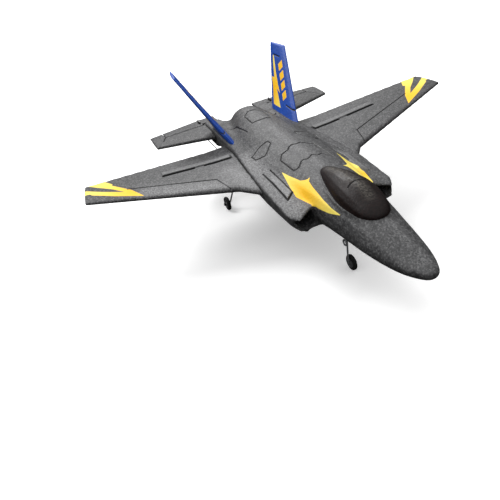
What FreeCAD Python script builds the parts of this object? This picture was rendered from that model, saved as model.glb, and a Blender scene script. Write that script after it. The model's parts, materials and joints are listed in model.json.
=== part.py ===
"""Twin-fin foam RC jet with pusher propellers, modelled in millimetres.

Frame: +Z up, nose towards -Y, +X is the aircraft's left (port) side.
The origin is on the ground, under the middle of the airframe's bounding box.
Every sub-part is an object of one parametric document; its sizes are bound to
the spreadsheet "Size", and its label names its STEP file.
"""
import FreeCAD
import Part
import math
import os
import Sketcher

doc = FreeCAD.newDocument("foam_jet")
Vector = FreeCAD.Vector
Rotation = FreeCAD.Rotation
Placement = FreeCAD.Placement

PORT = 1
STARBOARD = -1
SIDES = {"left": PORT, "right": STARBOARD}

# --------------------------------------------------------------------------
# Driving dimensions (mm and degrees)
# --------------------------------------------------------------------------
DIMENSIONS = {
    # wing: two flat foam panels with a leading-edge strake and a little dihedral
    "wing_root_half": 28.0,
    "wing_root_front": -21.0,
    "wing_root_rear": 71.6,
    "wing_kink_half": 48.0,
    "wing_kink_front": 3.4,
    "wing_kink_rear": 70.5,
    "wing_tip_half": 145.0,
    "wing_tip_front": 39.2,
    "wing_tip_chord": 24.8,
    "wing_tip_rake": 9.4,
    "wing_root_height": 50.0,
    "wing_kink_height": 50.4,
    "wing_tip_height": 59.2,
    "wing_root_thickness": 6.4,
    "wing_kink_thickness": 6.0,
    "wing_tip_thickness": 3.0,
    "spar_radius": 1.0,
    "spar_inner_end": 7.0,
    "spar_length": 100.0,
    "spar_station": 30.0,
    "spar_height": 46.8,
    "spar_angle": 5.11,
    "joiner_length": 32.0,
    "joiner_width": 7.0,
    "joiner_thickness": 6.0,
    # tailplane with an inset elevator that runs on behind the tail boom
    "stab_inner_half": 18.4,
    "stab_inner_front": 85.4,
    "stab_inner_rear": 129.6,
    "stab_root_half": 31.0,
    "stab_root_front": 88.8,
    "stab_root_rear": 130.0,
    "stab_tip_half": 77.0,
    "stab_tip_front": 101.4,
    "stab_tip_rear": 123.9,
    "stab_inner_height": 51.4,
    "stab_root_height": 51.4,
    "stab_tip_height": 51.9,
    "stab_inner_thickness": 4.6,
    "stab_root_thickness": 4.6,
    "stab_tip_thickness": 3.0,
    "hinge_station": 116.8,
    "hinge_height": 51.4,
    "elevator_inner": 18.4,
    "elevator_outer": 65.5,
    "elevator_gap": 0.4,
    "elevator_nose": 1.6,
    "hinge_rod_radius": 0.5,
    "hinge_rod_overrun": 1.6,
    "running_clearance": 0.06,
    "tail_zone_base": 40.0,
    "tail_zone_height": 20.0,
    "tail_zone_length": 30.0,
    # hinge block: it holds the rod between the tail boom and the elevator
    "block_inner": 29.2,
    "block_width": 1.8,
    "block_front": 109.0,
    "block_length": 9.2,
    "block_base": 50.1,
    "block_height": 2.6,
    "block_gap": 0.4,
    # canted fins
    "fin_root_front": 58.0,
    "fin_root_rear": 101.2,
    "fin_root_centre": 26.7,
    "fin_root_thickness": 5.6,
    "fin_root_toe": 0.6,
    "fin_tip_front": 112.0,
    "fin_tip_rear": 133.0,
    "fin_tip_centre": 47.0,
    "fin_tip_thickness": 2.8,
    "fin_tip_toe": 1.7,
    "fin_tip_height": 98.0,
    # flat rear deck and tail booms
    "deck_height": 55.0,
    "deck_thickness": 7.5,
    "deck_front": 50.0,
    "deck_half": 31.0,
    "deck_notch_half": 12.0,
    "deck_notch_front": 105.4,
    "deck_notch_corner_half": 16.6,
    "deck_notch_corner": 109.5,
    "boom_inner": 17.8,
    # belly: flat patch, equipment bay and battery door
    "belly_height": 32.4,
    "pan_front": -40.0,
    "pan_rear": 54.0,
    "pan_half": 17.0,
    "pan_thickness": 3.6,
    "stand_pad_front": 43.0,
    "stand_pad_length": 9.0,
    "stand_pad_half": 8.0,
    "stand_pad_depth": 0.6,
    "belly_trim_half": 30.0,
    "belly_trim_front": -50.0,
    "belly_trim_length": 112.0,
    "belly_trim_depth": 10.0,
    "bay_front": -36.0,
    "bay_rear": 50.0,
    "bay_half": 15.0,
    "bay_roof": 53.0,
    "door_front": -28.0,
    "door_rear": 20.0,
    "door_half": 12.0,
    "door_gap": 0.4,
    "door_thickness": 2.5,
    "door_pin_radius": 0.5,
    "door_pin_half": 12.2,
    "door_pin_height": 32.0,
    "door_knuckle_radius": 1.1,
    # equipment
    "battery_length": 42.0,
    "battery_width": 20.0,
    "battery_depth": 9.0,
    "battery_station": -4.0,
    "battery_lift": 0.4,
    "board_length": 34.0,
    "board_width": 22.0,
    "board_depth": 1.2,
    "chip_depth": 1.0,
    "board_station": 2.0,
    "tape_depth": 1.0,
    "connector_length": 9.0,
    "connector_width": 6.0,
    "connector_depth": 5.0,
    "connector_station": 27.0,
    "switch_length": 9.0,
    "switch_width": 4.5,
    "switch_depth": 5.0,
    "switch_station": 36.0,
    "switch_travel": 2.0,
    "switch_knob": 2.0,
    "servo_length": 17.0,
    "servo_width": 8.2,
    "servo_depth": 13.0,
    "servo_inner": 17.6,
    "servo_axis_station": 48.0,
    "servo_axis_height": 39.8,
    "servo_boss_radius": 2.6,
    "servo_shaft_radius": 1.2,
    "arm_radius": 5.7,
    "arm_thickness": 1.2,
    "arm_plane": 32.4,
    "arm_tip_radius": 1.7,
    "arm_hub_radius": 2.4,
    "rod_plane": 34.6,
    "rod_radius": 0.4,
    "rod_hole_radius": 0.8,
    "rod_height": 45.5,
    "horn_thickness": 1.2,
    "horn_plane": 32.8,
    # pusher motors and propellers
    "motor_half": 23.0,
    "motor_height": 40.0,
    "motor_radius": 4.25,
    "motor_front": 104.0,
    "motor_length": 20.0,
    "pod_wall": 0.9,
    "pod_front": 104.6,
    "pod_length": 10.0,
    "pod_foot_half": 4.6,
    "pod_web": 3.0,
    "shaft_radius": 0.5,
    "prop_station": 133.75,
    "prop_hub_radius": 2.4,
    "prop_hub_length": 5.0,
    # landing gear
    "tyre_radius": 5.6,
    "tyre_width": 2.6,
    "hub_radius": 3.3,
    "hub_width": 3.0,
    "tyre_shoulder": 1.1,
    "wheel_side_play": 0.3,
    "axle_end": 0.4,
    "axle_radius": 0.6,
    "collar_radius": 1.2,
    "collar_length": 1.1,
    "nose_gear_station": -56.3,
    "nose_leg_half": 2.6,
    "nose_socket_height": 35.0,
    "nose_coil_height": 22.0,
    "nose_coil_radius": 1.9,
    "main_gear_half": 40.4,
    "main_gear_station": 63.6,
    "main_leg_half": 26.4,
    "main_leg_station": 63.0,
    "main_leg_height": 36.0,
    "socket_radius": 2.4,
    "socket_depth": 7.0,
}

# Central body: superellipse sections from the nose to the end of the hump.
# station, half width, height of the widest line, top, keel, power above it, power below it
BODY_SECTIONS = {
    "nosetip": (-136.25, 0.8, 50.0, 50.7, 49.3, 1.0, 1.0),
    "nosecap": (-135.2, 3.4, 49.7, 52.0, 47.0, 1.0, 1.0),
    "noseone": (-131.5, 6.3, 49.4, 52.6, 44.8, 1.0, 1.0),
    "nosetwo": (-124.0, 9.8, 49.0, 53.4, 42.5, 1.0, 0.97),
    "nosethree": (-112.0, 13.0, 48.6, 56.2, 39.9, 1.0, 1.0),
    "sillfront": (-92.0, 15.9, 48.6, 60.4, 37.2, 0.92, 1.0),
    "sillmid": (-69.0, 18.0, 49.4, 62.4, 35.2, 0.68, 1.0),
    "neck": (-46.0, 20.6, 51.5, 64.2, 32.6, 0.8, 0.88),
    "spine": (-14.0, 24.0, 54.0, 64.4, 32.0, 0.9, 0.4),
    "middle": (26.0, 25.0, 54.0, 64.4, 32.0, 0.9, 0.4),
    "rear": (60.0, 22.0, 53.0, 65.4, 33.0, 0.9, 0.45),
    "hump": (90.0, 15.5, 51.5, 66.4, 39.0, 0.85, 0.6),
    "humpback": (99.0, 13.6, 51.0, 64.6, 41.5, 0.85, 0.7),
    "humpend": (105.0, 12.4, 50.5, 56.0, 43.5, 0.8, 0.8),
}
BODY_FIELDS = ("station", "half", "widest", "top", "keel", "upper", "lower")
SECTION_STEPS = 16

# Intake trunks beside the central body: a six-sided section from the mouth to the tail.
# station, outer top x and z, outer bottom x and z, floor x and z
TRUNK_SECTIONS = {
    "lip": (-54.8, 35.6, 51.2, 34.6, 44.8, 26.5, 38.6),
    "mouth": (-46.0, 37.4, 52.2, 36.0, 44.6, 26.5, 37.6),
    "shoulder": (-13.0, 37.4, 54.6, 36.2, 43.6, 27.0, 34.0),
    "flank": (18.0, 34.8, 55.0, 34.2, 41.6, 27.0, 32.0),
    "waist": (58.0, 30.6, 55.0, 30.0, 40.6, 24.0, 33.0),
    "boom": (96.0, 30.8, 55.0, 30.4, 46.4, 22.0, 43.0),
}
TRUNK_FIELDS = ("station", "topx", "topz", "sidex", "sidez", "floorx", "floorz")
TRUNK_INNER = {"trunk_inner": 14.0, "trunk_crown": 22.0, "trunk_crown_rise": 2.2}

# Intake mouth, seen from above: the top lip runs forward to a point.
INTAKE = {
    "lip_inner": 23.0,
    "lip_inner_front": -48.6,
    "lip_point": 33.1,
    "lip_point_front": -54.8,
    "lip_outer": 37.2,
    "lip_outer_front": -47.0,
    "lip_wall": 1.8,
    "duct_rear": -34.0,
    "duct_reach": 30.0,
    "lip_clear": 40.0,
    "lip_trim_height": 80.0,
}

# Canopy: half-ellipse sections standing on the sill of the fuselage.
# station, half width, sill height, crown height above the sill
CANOPY_SECTIONS = {
    "bow": (-91.2, 0.8, 60.4, 0.5),
    "lip_bow": (-90.5, 4.2, 60.4, 1.8),
    "dash": (-88.3, 7.4, 60.5, 3.7),
    "screenfoot": (-84.2, 10.2, 60.6, 6.1),
    "windscreen": (-78.0, 12.2, 60.7, 8.6),
    "frame": (-69.5, 13.8, 61.4, 10.6),
    "crown": (-60.5, 13.7, 62.4, 9.6),
    "aft": (-51.5, 12.2, 63.0, 8.1),
    "taper": (-43.0, 10.0, 63.4, 6.1),
    "fairing": (-35.5, 7.4, 63.4, 4.2),
    "heel": (-30.6, 5.0, 63.4, 2.8),
    "stern": (-27.6, 1.8, 63.4, 1.1),
}
CANOPY_FIELDS = ("station", "half", "sill", "crown")
CANOPY_STEPS = 8
CANOPY_SEAT = {"canopy_seat": 3.0}

# Propeller blade: radius, chord, pitch angle, thickness of each section.
BLADE_SECTIONS = {
    "cuff": (1.6, 3.0, 48.0, 1.3),
    "inboard": (7.0, 6.2, 33.0, 1.0),
    "outboard": (15.0, 5.8, 19.0, 0.8),
    "bladetip": (21.0, 2.8, 13.0, 0.6),
}
BLADE_FIELDS = ("radius", "chord", "pitch", "thick")


def section_cells(sections, fields):
    """Name every number of a section table, such as neck_half."""
    cells = {}
    for name, values in sections.items():
        for field, value in zip(fields, values):
            cells[f"{name}_{field}"] = value
    return cells


sheet = doc.addObject("Spreadsheet::Sheet", "Size")
all_cells = {}
for group in (DIMENSIONS, section_cells(BODY_SECTIONS, BODY_FIELDS), TRUNK_INNER, INTAKE,
              section_cells(TRUNK_SECTIONS, TRUNK_FIELDS), CANOPY_SEAT,
              section_cells(CANOPY_SECTIONS, CANOPY_FIELDS),
              section_cells(BLADE_SECTIONS, BLADE_FIELDS)):
    all_cells.update(group)
for row, (alias, number) in enumerate(all_cells.items(), start=1):
    sheet.set(f"A{row}", alias)
    sheet.set(f"B{row}", str(number))
    sheet.setAlias(f"B{row}", alias)
doc.recompute()


def size(alias):
    """The number held by a cell of the sheet."""
    return float(sheet.get(alias))


def cell(alias, sign=1):
    """The expression that reads a cell, with an optional sign."""
    return f"Size.{alias}" if sign > 0 else f"-Size.{alias}"


def number(expression):
    """The value that an expression has now, to place sketch geometry."""
    result = sheet.evalExpression(str(expression))
    return float(getattr(result, "Value", result))


# --------------------------------------------------------------------------
# Sketch and feature helpers
# --------------------------------------------------------------------------
def origin_plane(body, role):
    for feature in body.Origin.OriginFeatures:
        if feature.Role == role:
            return feature
    raise ValueError(role)


def new_body(label):
    body = doc.addObject("PartDesign::Body", label)
    body.Label = label
    return body


def polygon(body, name, role, offset, corners, turn=0.0):
    """A closed polygon whose corners are bound to expressions (x, y) of the sheet."""
    sketch = body.newObject("Sketcher::SketchObject", name)
    sketch.AttachmentSupport = [(origin_plane(body, role), "")]
    sketch.MapMode = "FlatFace"
    sketch.AttachmentOffset = Placement(Vector(0, 0, number(offset)),
                                        Rotation(Vector(0, 1, 0), turn))
    sketch.setExpression(".AttachmentOffset.Base.z", str(offset))
    places = [Vector(number(x), number(y), 0) for x, y in corners]
    count = len(places)
    for i in range(count):
        sketch.addGeometry(Part.LineSegment(places[i], places[(i + 1) % count]), False)
    for i in range(count):
        sketch.addConstraint(Sketcher.Constraint("Coincident", i, 2, (i + 1) % count, 1))
    for i, (x, y) in enumerate(corners):
        index = sketch.addConstraint(Sketcher.Constraint("DistanceX", -1, 1, i, 1, places[i].x))
        sketch.setExpression(f"Constraints[{index}]", str(x))
        index = sketch.addConstraint(Sketcher.Constraint("DistanceY", -1, 1, i, 1, places[i].y))
        sketch.setExpression(f"Constraints[{index}]", str(y))
    return sketch


def circle(body, name, role, offset, centre, radius):
    """A circle whose centre and radius are bound to expressions of the sheet."""
    sketch = body.newObject("Sketcher::SketchObject", name)
    sketch.AttachmentSupport = [(origin_plane(body, role), "")]
    sketch.MapMode = "FlatFace"
    sketch.AttachmentOffset = Placement(Vector(0, 0, number(offset)), Rotation())
    sketch.setExpression(".AttachmentOffset.Base.z", str(offset))
    x, y = centre
    place = Vector(number(x), number(y), 0)
    sketch.addGeometry(Part.Circle(place, Vector(0, 0, 1), number(radius)), False)
    index = sketch.addConstraint(Sketcher.Constraint("DistanceX", -1, 1, 0, 3, place.x))
    sketch.setExpression(f"Constraints[{index}]", str(x))
    index = sketch.addConstraint(Sketcher.Constraint("DistanceY", -1, 1, 0, 3, place.y))
    sketch.setExpression(f"Constraints[{index}]", str(y))
    index = sketch.addConstraint(Sketcher.Constraint("Radius", 0, number(radius)))
    sketch.setExpression(f"Constraints[{index}]", str(radius))
    return sketch


def loft(body, name, sketches, ruled=False, kind="PartDesign::AdditiveLoft"):
    feature = body.newObject(kind, name)
    feature.Profile = sketches[0]
    feature.Sections = sketches[1:]
    feature.Ruled = ruled
    return feature


def pad(body, name, sketch, length, reverse=False, midplane=False):
    feature = body.newObject("PartDesign::Pad", name)
    feature.Profile = sketch
    feature.setExpression("Length", str(length))
    feature.Reversed = reverse
    if midplane:
        feature.SideType = "Symmetric"
    return feature


def box(label, corner, sides):
    """A box bound to six expressions: its low corner and its three sides."""
    feature = doc.addObject("Part::Box", label)
    feature.Label = label
    for prop, value in zip(("Length", "Width", "Height"), sides):
        feature.setExpression(prop, str(value))
    for axis, value in zip("xyz", corner):
        feature.setExpression(f".Placement.Base.{axis}", str(value))
    return feature


def rod(label, start, axis, radius, length):
    """A cylinder along +X, +Y or +Z (axis letter) from a start point."""
    turns = {"x": Rotation(Vector(0, 1, 0), 90), "y": Rotation(Vector(1, 0, 0), -90),
             "z": Rotation()}
    feature = doc.addObject("Part::Cylinder", label)
    feature.Label = label
    feature.setExpression("Radius", str(radius))
    feature.setExpression("Height", str(length))
    feature.Placement = Placement(Vector(), turns[axis])
    for letter, value in zip("xyz", start):
        feature.setExpression(f".Placement.Base.{letter}", str(value))
    return feature


def fuse(label, shapes):
    feature = doc.addObject("Part::MultiFuse", label)
    feature.Label = label
    feature.Shapes = shapes
    return feature


def cut(label, base, tool):
    feature = doc.addObject("Part::Cut", label)
    feature.Label = label
    feature.Base = base
    feature.Tool = tool
    return feature


def common(label, first, second):
    feature = doc.addObject("Part::MultiCommon", label)
    feature.Label = label
    feature.Shapes = [first, second]
    return feature


parts = {}


def keep(feature):
    """Register a finished sub-part: its label becomes the name of its file."""
    parts[feature.Label] = feature
    return feature


def along(side, start, length):
    """Low x of something that begins at start and grows outwards on one side."""
    return f"{start}" if side > 0 else f"-({start}) - ({length})"


# --------------------------------------------------------------------------
# Fuselage foam: central body, intake trunks and rear deck
# --------------------------------------------------------------------------
def superellipse(name):
    """Corner expressions of one central body section."""
    corners = []
    for step in range(SECTION_STEPS):
        angle = 360.0 * (step + 0.5) / SECTION_STEPS
        cosine = math.cos(math.radians(angle))
        sine = math.sin(math.radians(angle))
        power = f"Size.{name}_upper" if sine > 0 else f"Size.{name}_lower"
        reach = f"(Size.{name}_top - Size.{name}_widest)"
        if sine < 0:
            reach = f"(Size.{name}_widest - Size.{name}_keel)"
        sideways = "" if cosine > 0 else "-"
        upwards = "+" if sine > 0 else "-"
        corners.append((f"{sideways}Size.{name}_half * {abs(cosine):.6f} ^ {power}",
                        f"Size.{name}_widest {upwards} {reach} * {abs(sine):.6f} ^ {power}"))
    return corners


def central_body(body):
    sketches = []
    for name in BODY_SECTIONS:
        sketches.append(polygon(body, f"Section_{name}", "XZ_Plane", cell(f"{name}_station", -1),
                                superellipse(name)))
    return loft(body, "CentralBody", sketches)


def trunk(body, word, side):
    """One intake trunk: it runs from the intake lip back into the tail boom."""
    sketches = []
    for name in TRUNK_SECTIONS:
        corners = [(cell("trunk_inner", side), cell(f"{name}_topz")),
                   (cell("trunk_crown", side), f"Size.{name}_topz + Size.trunk_crown_rise"),
                   (cell(f"{name}_topx", side), cell(f"{name}_topz")),
                   (cell(f"{name}_sidex", side), cell(f"{name}_sidez")),
                   (cell(f"{name}_floorx", side), cell(f"{name}_floorz")),
                   (cell("trunk_inner", side), cell(f"{name}_floorz"))]
        sketches.append(polygon(body, f"Trunk_{word}_{name}", "XZ_Plane",
                                cell(f"{name}_station", -1), corners))
    return loft(body, f"Trunk_{word}", sketches, ruled=True)


def lip_trim(body, word, side):
    """Trim the front of a trunk to the pointed lip, seen from above."""
    ahead = "Size.lip_point_front - 8"
    corners = [("0", ahead),
               (cell("lip_clear", side), ahead),
               (cell("lip_clear", side), cell("lip_outer_front")),
               (cell("lip_outer", side), cell("lip_outer_front")),
               (cell("lip_point", side), cell("lip_point_front")),
               (cell("lip_inner", side), cell("lip_inner_front")),
               ("0", cell("lip_inner_front"))]
    return polygon(body, f"Lip_{word}", "XY_Plane", "0", corners)


def duct(body, word, side):
    """Cross-section of the hollow behind an intake mouth."""
    wall = "Size.lip_wall"
    sign = "" if side > 0 else "-"
    corners = [(f"{sign}(Size.neck_half + 0.6)", f"Size.mouth_topz - {wall} + 1.0"),
               (f"{sign}(Size.mouth_topx - {wall} - 1.0)", f"Size.mouth_topz - {wall}"),
               (f"{sign}(Size.mouth_sidex - {wall} - 0.6)", "Size.mouth_sidez + 0.4"),
               (f"{sign}(Size.mouth_floorx + 0.2)", f"Size.mouth_floorz + {wall} + 0.6"),
               (f"{sign}(Size.neck_half - 1.6)", f"Size.mouth_floorz + {wall} + 0.6")]
    return polygon(body, f"Duct_{word}", "XZ_Plane", cell("duct_rear", -1), corners)


core_body = new_body("central_blank")
central_body(core_body)

trunk_blanks = []
for word, side in SIDES.items():
    trunk_body = new_body(f"trunk_blank_{word}")
    trunk(trunk_body, word, side)
    trim_body = new_body(f"trim_tool_{word}")
    pad(trim_body, f"Trim_{word}", lip_trim(trim_body, word, side),
        cell("lip_trim_height"))
    duct_body = new_body(f"duct_tool_{word}")
    pad(duct_body, f"Hollow_{word}", duct(duct_body, word, side), cell("duct_reach"))
    trimmed = cut(f"trunk_trimmed_{word}", trunk_body, trim_body)
    trunk_blanks.append(cut(f"trunk_hollow_{word}", trimmed, duct_body))

deck_body = new_body("deck_blank")
boom_rear = "Size.hinge_station - Size.elevator_nose - Size.elevator_gap"
half_outline = [("deck_half", cell("deck_front")), ("deck_half", boom_rear),
                ("boom_inner", boom_rear), ("deck_notch_corner_half", cell("deck_notch_corner")),
                ("deck_notch_half", cell("deck_notch_front"))]
deck_corners = [(cell(alias), station) for alias, station in half_outline]
deck_corners += [(cell(alias, STARBOARD), station) for alias, station in reversed(half_outline)]
pad(deck_body, "Deck", polygon(deck_body, "DeckOutline", "XY_Plane",
                               "Size.deck_height - Size.deck_thickness", deck_corners),
    cell("deck_thickness"))

outer_foam = fuse("foam_outer", [core_body, deck_body] + trunk_blanks)


# --------------------------------------------------------------------------
# Canopy
# --------------------------------------------------------------------------
def canopy():
    body = new_body("canopy")
    sketches = []
    for name in CANOPY_SECTIONS:
        corners = [(cell(f"{name}_half"), f"Size.{name}_sill - Size.canopy_seat")]
        for step in range(CANOPY_STEPS + 1):
            angle = 180.0 * step / CANOPY_STEPS
            cosine = math.cos(math.radians(angle))
            sine = math.sin(math.radians(angle))
            corners.append((f"Size.{name}_half * {cosine:.6f}",
                            f"Size.{name}_sill + Size.{name}_crown * {sine:.6f}"))
        corners.append((cell(f"{name}_half", STARBOARD), f"Size.{name}_sill - Size.canopy_seat"))
        sketches.append(polygon(body, f"Canopy_{name}", "XZ_Plane", cell(f"{name}_station", -1),
                                corners))
    loft(body, "CanopyLoft", sketches)
    return body


canopy_body = keep(canopy())


# --------------------------------------------------------------------------
# Wings, spars and joiner
# --------------------------------------------------------------------------
def foil_corners(front, rear, height, thickness):
    """Nine corners of a flat-plate aerofoil with a blunt nose, as (y, z) expressions."""
    chord = f"({rear} - ({front}))"
    shape = [(0.0, 0.16), (0.03, 0.36), (0.28, 0.5), (0.65, 0.42), (1.0, 0.18),
             (1.0, -0.12), (0.5, -0.45), (0.06, -0.42), (0.0, -0.24)]
    return [(f"{front} + {chord} * {along_chord}", f"{height} + {thickness} * {rise}")
            for along_chord, rise in shape]


def wing(word, side):
    body = new_body(f"wing_blank_{word}")
    sketches = []
    for name in ("root", "kink"):
        corners = foil_corners(f"Size.wing_{name}_front", f"Size.wing_{name}_rear",
                               f"Size.wing_{name}_height", f"Size.wing_{name}_thickness")
        sketches.append(polygon(body, f"Wing_{word}_{name}", "YZ_Plane",
                                cell(f"wing_{name}_half", side), corners))
    tip_rear = "(Size.wing_tip_front + Size.wing_tip_chord)"
    corners = foil_corners("Size.wing_tip_front", tip_rear, "Size.wing_tip_height",
                           "Size.wing_tip_thickness")
    tip = polygon(body, f"Wing_{word}_tip", "YZ_Plane", cell("wing_tip_half", side), corners)
    rake = Rotation(Vector(0, 1, 0), side * size("wing_tip_rake"))
    tip.AttachmentOffset = Placement(Vector(), rake)
    rake_shift = "Size.wing_tip_front * tan(Size.wing_tip_rake)"
    tip.setExpression(".AttachmentOffset.Base.z",
                      f"{side} * (Size.wing_tip_half + {rake_shift})")
    sketches.append(tip)
    loft(body, f"Wing_{word}", sketches, ruled=True)
    return body


def spar(word, side):
    """A carbon rod that follows the dihedral of one panel."""
    feature = rod(f"wing_spar_{word}", (cell("spar_inner_end", side), "Size.spar_station",
                                        "Size.spar_height"), "x", "Size.spar_radius",
                  "Size.spar_length")
    tilt = 90 - size("spar_angle")
    feature.Placement.Rotation = Rotation(Vector(0, 1, 0), side * tilt)
    return feature


# --------------------------------------------------------------------------
# Tailplane, elevators, hinge rods and control horns
# --------------------------------------------------------------------------
def stab_blank(word, side):
    body = new_body(f"stab_blank_{word}")
    sketches = []
    for name in ("inner", "root", "tip"):
        corners = foil_corners(f"Size.stab_{name}_front", f"Size.stab_{name}_rear",
                               f"Size.stab_{name}_height", f"Size.stab_{name}_thickness")
        sketches.append(polygon(body, f"Stab_{word}_{name}", "YZ_Plane",
                                cell(f"stab_{name}_half", side), corners))
    loft(body, f"Stab_{word}", sketches, ruled=True)
    return body


def elevator(word, side, blank, rod_bore):
    """The moving rear strip of the tailplane, with a round nose on the hinge line."""
    span = "(Size.elevator_outer - Size.elevator_inner)"
    low = along(side, "Size.elevator_inner", span)
    aft_zone = box(f"elevator_zone_{word}", (low, "Size.hinge_station", "Size.tail_zone_base"),
                   (span, "Size.tail_zone_length", "Size.tail_zone_height"))
    strip = common(f"elevator_strip_{word}", blank, aft_zone)
    nose = rod(f"elevator_nose_{word}", (low, "Size.hinge_station", "Size.hinge_height"), "x",
               "Size.elevator_nose", span)
    solid = fuse(f"elevator_solid_{word}", [strip, nose])
    notch_width = "(Size.block_width + 2 * Size.block_gap)"
    notch = box(f"elevator_notch_{word}",
                (along(side, "(Size.block_inner - Size.block_gap)", notch_width),
                 "Size.hinge_station - Size.elevator_nose - Size.elevator_gap",
                 "Size.tail_zone_base"),
                (notch_width, "Size.block_front + Size.block_length + 2 * Size.block_gap"
                              " - Size.hinge_station + Size.elevator_nose",
                 "Size.tail_zone_height"))
    return cut(f"elevator_bored_{word}", solid, fuse(f"elevator_tools_{word}", [rod_bore, notch]))


def hinge_block(word, side):
    """Plastic block glued into the end of the tail boom; the hinge rod is pressed into it."""
    return box(f"hinge_block_blank_{word}",
               (along(side, "Size.block_inner", "Size.block_width"), "Size.block_front",
                "Size.block_base"),
               ("Size.block_width", "Size.block_length", "Size.block_height"))


def horn(word, side):
    """Control horn: a foot through the elevator and an arm that leans to the hinge line."""
    body = new_body(f"control_horn_{word}")
    hinge = "Size.hinge_station"
    top = "Size.hinge_height"
    corners = [(f"{hinge} + 3.2", f"{top} + 3.2"), (f"{hinge} + 8.6", f"{top} + 3.2"),
               (f"{hinge} + 8.6", f"{top} - 2.4"), (f"{hinge} + 1.8", "Size.rod_height - 1.9"),
               (f"{hinge} - 1.2", "Size.rod_height - 1.9"),
               (f"{hinge} - 2.0", "Size.rod_height + 0.2"),
               (f"{hinge} - 0.6", "Size.rod_height + 2.0"), (f"{hinge} + 3.2", f"{top} - 2.0")]
    plate = polygon(body, f"HornPlate_{word}", "YZ_Plane", cell("horn_plane", side), corners)
    pad(body, f"HornPad_{word}", plate, cell("horn_thickness"), reverse=side < 0)
    hole = rod(f"horn_hole_{word}", (along(side, "Size.horn_plane - 1", "4"), hinge,
                                     "Size.rod_height"), "x", "Size.rod_hole_radius", "4")
    body.Label = f"horn_plate_{word}"
    return cut(f"control_horn_{word}", body, hole)


# --------------------------------------------------------------------------
# Bent wires
# --------------------------------------------------------------------------
def bent_wire(label, points, radius, bend):
    """A round wire along straight runs joined by tangent arcs of one bend radius."""
    corners = [Vector(*point) for point in points]
    edges = []
    start = corners[0]
    for before, corner, after in zip(corners, corners[1:], corners[2:]):
        back = (before - corner).normalize()
        ahead = (after - corner).normalize()
        half_turn = (math.pi - back.getAngle(ahead)) / 2
        reach = bend * math.tan(half_turn)
        arc_start = corner + back * reach
        arc_end = corner + ahead * reach
        middle_way = (back + ahead).normalize()
        arc_middle = corner + middle_way * (bend / math.cos(half_turn) - bend)
        edges.append(Part.LineSegment(start, arc_start).toShape())
        edges.append(Part.Arc(arc_start, arc_middle, arc_end).toShape())
        start = arc_end
    edges.append(Part.LineSegment(start, corners[-1]).toShape())
    path = Part.Wire(edges)
    section = Part.Wire(Part.makeCircle(radius, corners[0], corners[1] - corners[0]))
    feature = doc.addObject("Part::Feature", label)
    feature.Label = label
    feature.Shape = path.makePipeShell([section], True, False)
    expected = math.pi * radius ** 2 * path.Length
    if abs(feature.Shape.Volume - expected) > 0.02 * expected:
        raise RuntimeError(f"{label}: volume {feature.Shape.Volume}, expected {expected}")
    return feature


def pushrod(word, side):
    plane = side * size("rod_plane")
    inner = side * size("arm_plane") - side * 0.4
    height = size("rod_height")
    front = size("servo_axis_station")
    rear = size("hinge_station")
    points = [(inner, front, height), (plane, front, height), (plane, rear, height),
              (inner, rear, height)]
    return bent_wire(f"pushrod_{word}", points, size("rod_radius"), 1.0)


# --------------------------------------------------------------------------
# Canted fins
# --------------------------------------------------------------------------
def fin(word, side):
    body = new_body(f"fin_{word}")
    sketches = []
    for name, height in (("root", "Size.deck_height"), ("tip", "Size.fin_tip_height")):
        front = f"Size.fin_{name}_front"
        chord = f"(Size.fin_{name}_rear - Size.fin_{name}_front)"
        centre = f"Size.fin_{name}_centre"
        toe = f"Size.fin_{name}_toe"
        half = f"Size.fin_{name}_thickness / 2"
        sign = "" if side > 0 else "-"
        shape = [(0.0, 0.0), (0.1, 0.8), (0.3, 1.0), (0.75, 0.9), (1.0, 0.3),
                 (1.0, -0.3), (0.75, -0.9), (0.3, -1.0), (0.1, -0.8)]
        corners = []
        for along_chord, width in shape:
            lean = 1.0 - 2.0 * along_chord
            corners.append((f"{sign}({centre} + {toe} * {lean} + {half} * {width})",
                            f"{front} + {chord} * {along_chord}"))
        sketches.append(polygon(body, f"Fin_{word}_{name}", "XY_Plane", height, corners))
    loft(body, f"FinLoft_{word}", sketches, ruled=True)
    return body


# --------------------------------------------------------------------------
# Propellers and motors
# --------------------------------------------------------------------------
def propeller(word, side):
    """Two twisted blades on a hub; the left and right ones turn opposite ways."""
    body = new_body(f"propeller_solid_{word}")
    hub = circle(body, f"PropHub_{word}", "XZ_Plane", "0", ("0", "0"), "Size.prop_hub_radius")
    pad(body, f"PropHubPad_{word}", hub, cell("prop_hub_length"), midplane=True)
    for blade, reach in (("first", 1), ("second", -1)):
        sketches = []
        for name in BLADE_SECTIONS:
            half = f"Size.{name}_chord / 2"
            deep = f"Size.{name}_thick / 2"
            sine = f"sin(Size.{name}_pitch)"
            cosine = f"cos(Size.{name}_pitch)"
            corners = []
            for chordwise, through in ((1, 0), (0.1, 1), (-1, 0), (0.1, -1)):
                y = f"{side} * {half} * {chordwise} * {sine} + {through} * {deep} * {cosine}"
                z = (f"{reach} * ({half} * {chordwise} * {cosine}"
                     f" - {side * through} * {deep} * {sine})")
                corners.append((y, z))
            sketches.append(polygon(body, f"Blade_{word}_{blade}_{name}", "YZ_Plane",
                                    cell(f"{name}_radius", reach), corners))
        loft(body, f"Blade_{word}_{blade}", sketches)
    body.setExpression(".Placement.Base.x", cell("motor_half", side))
    body.setExpression(".Placement.Base.y", cell("prop_station"))
    body.setExpression(".Placement.Base.z", cell("motor_height"))
    return body


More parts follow.
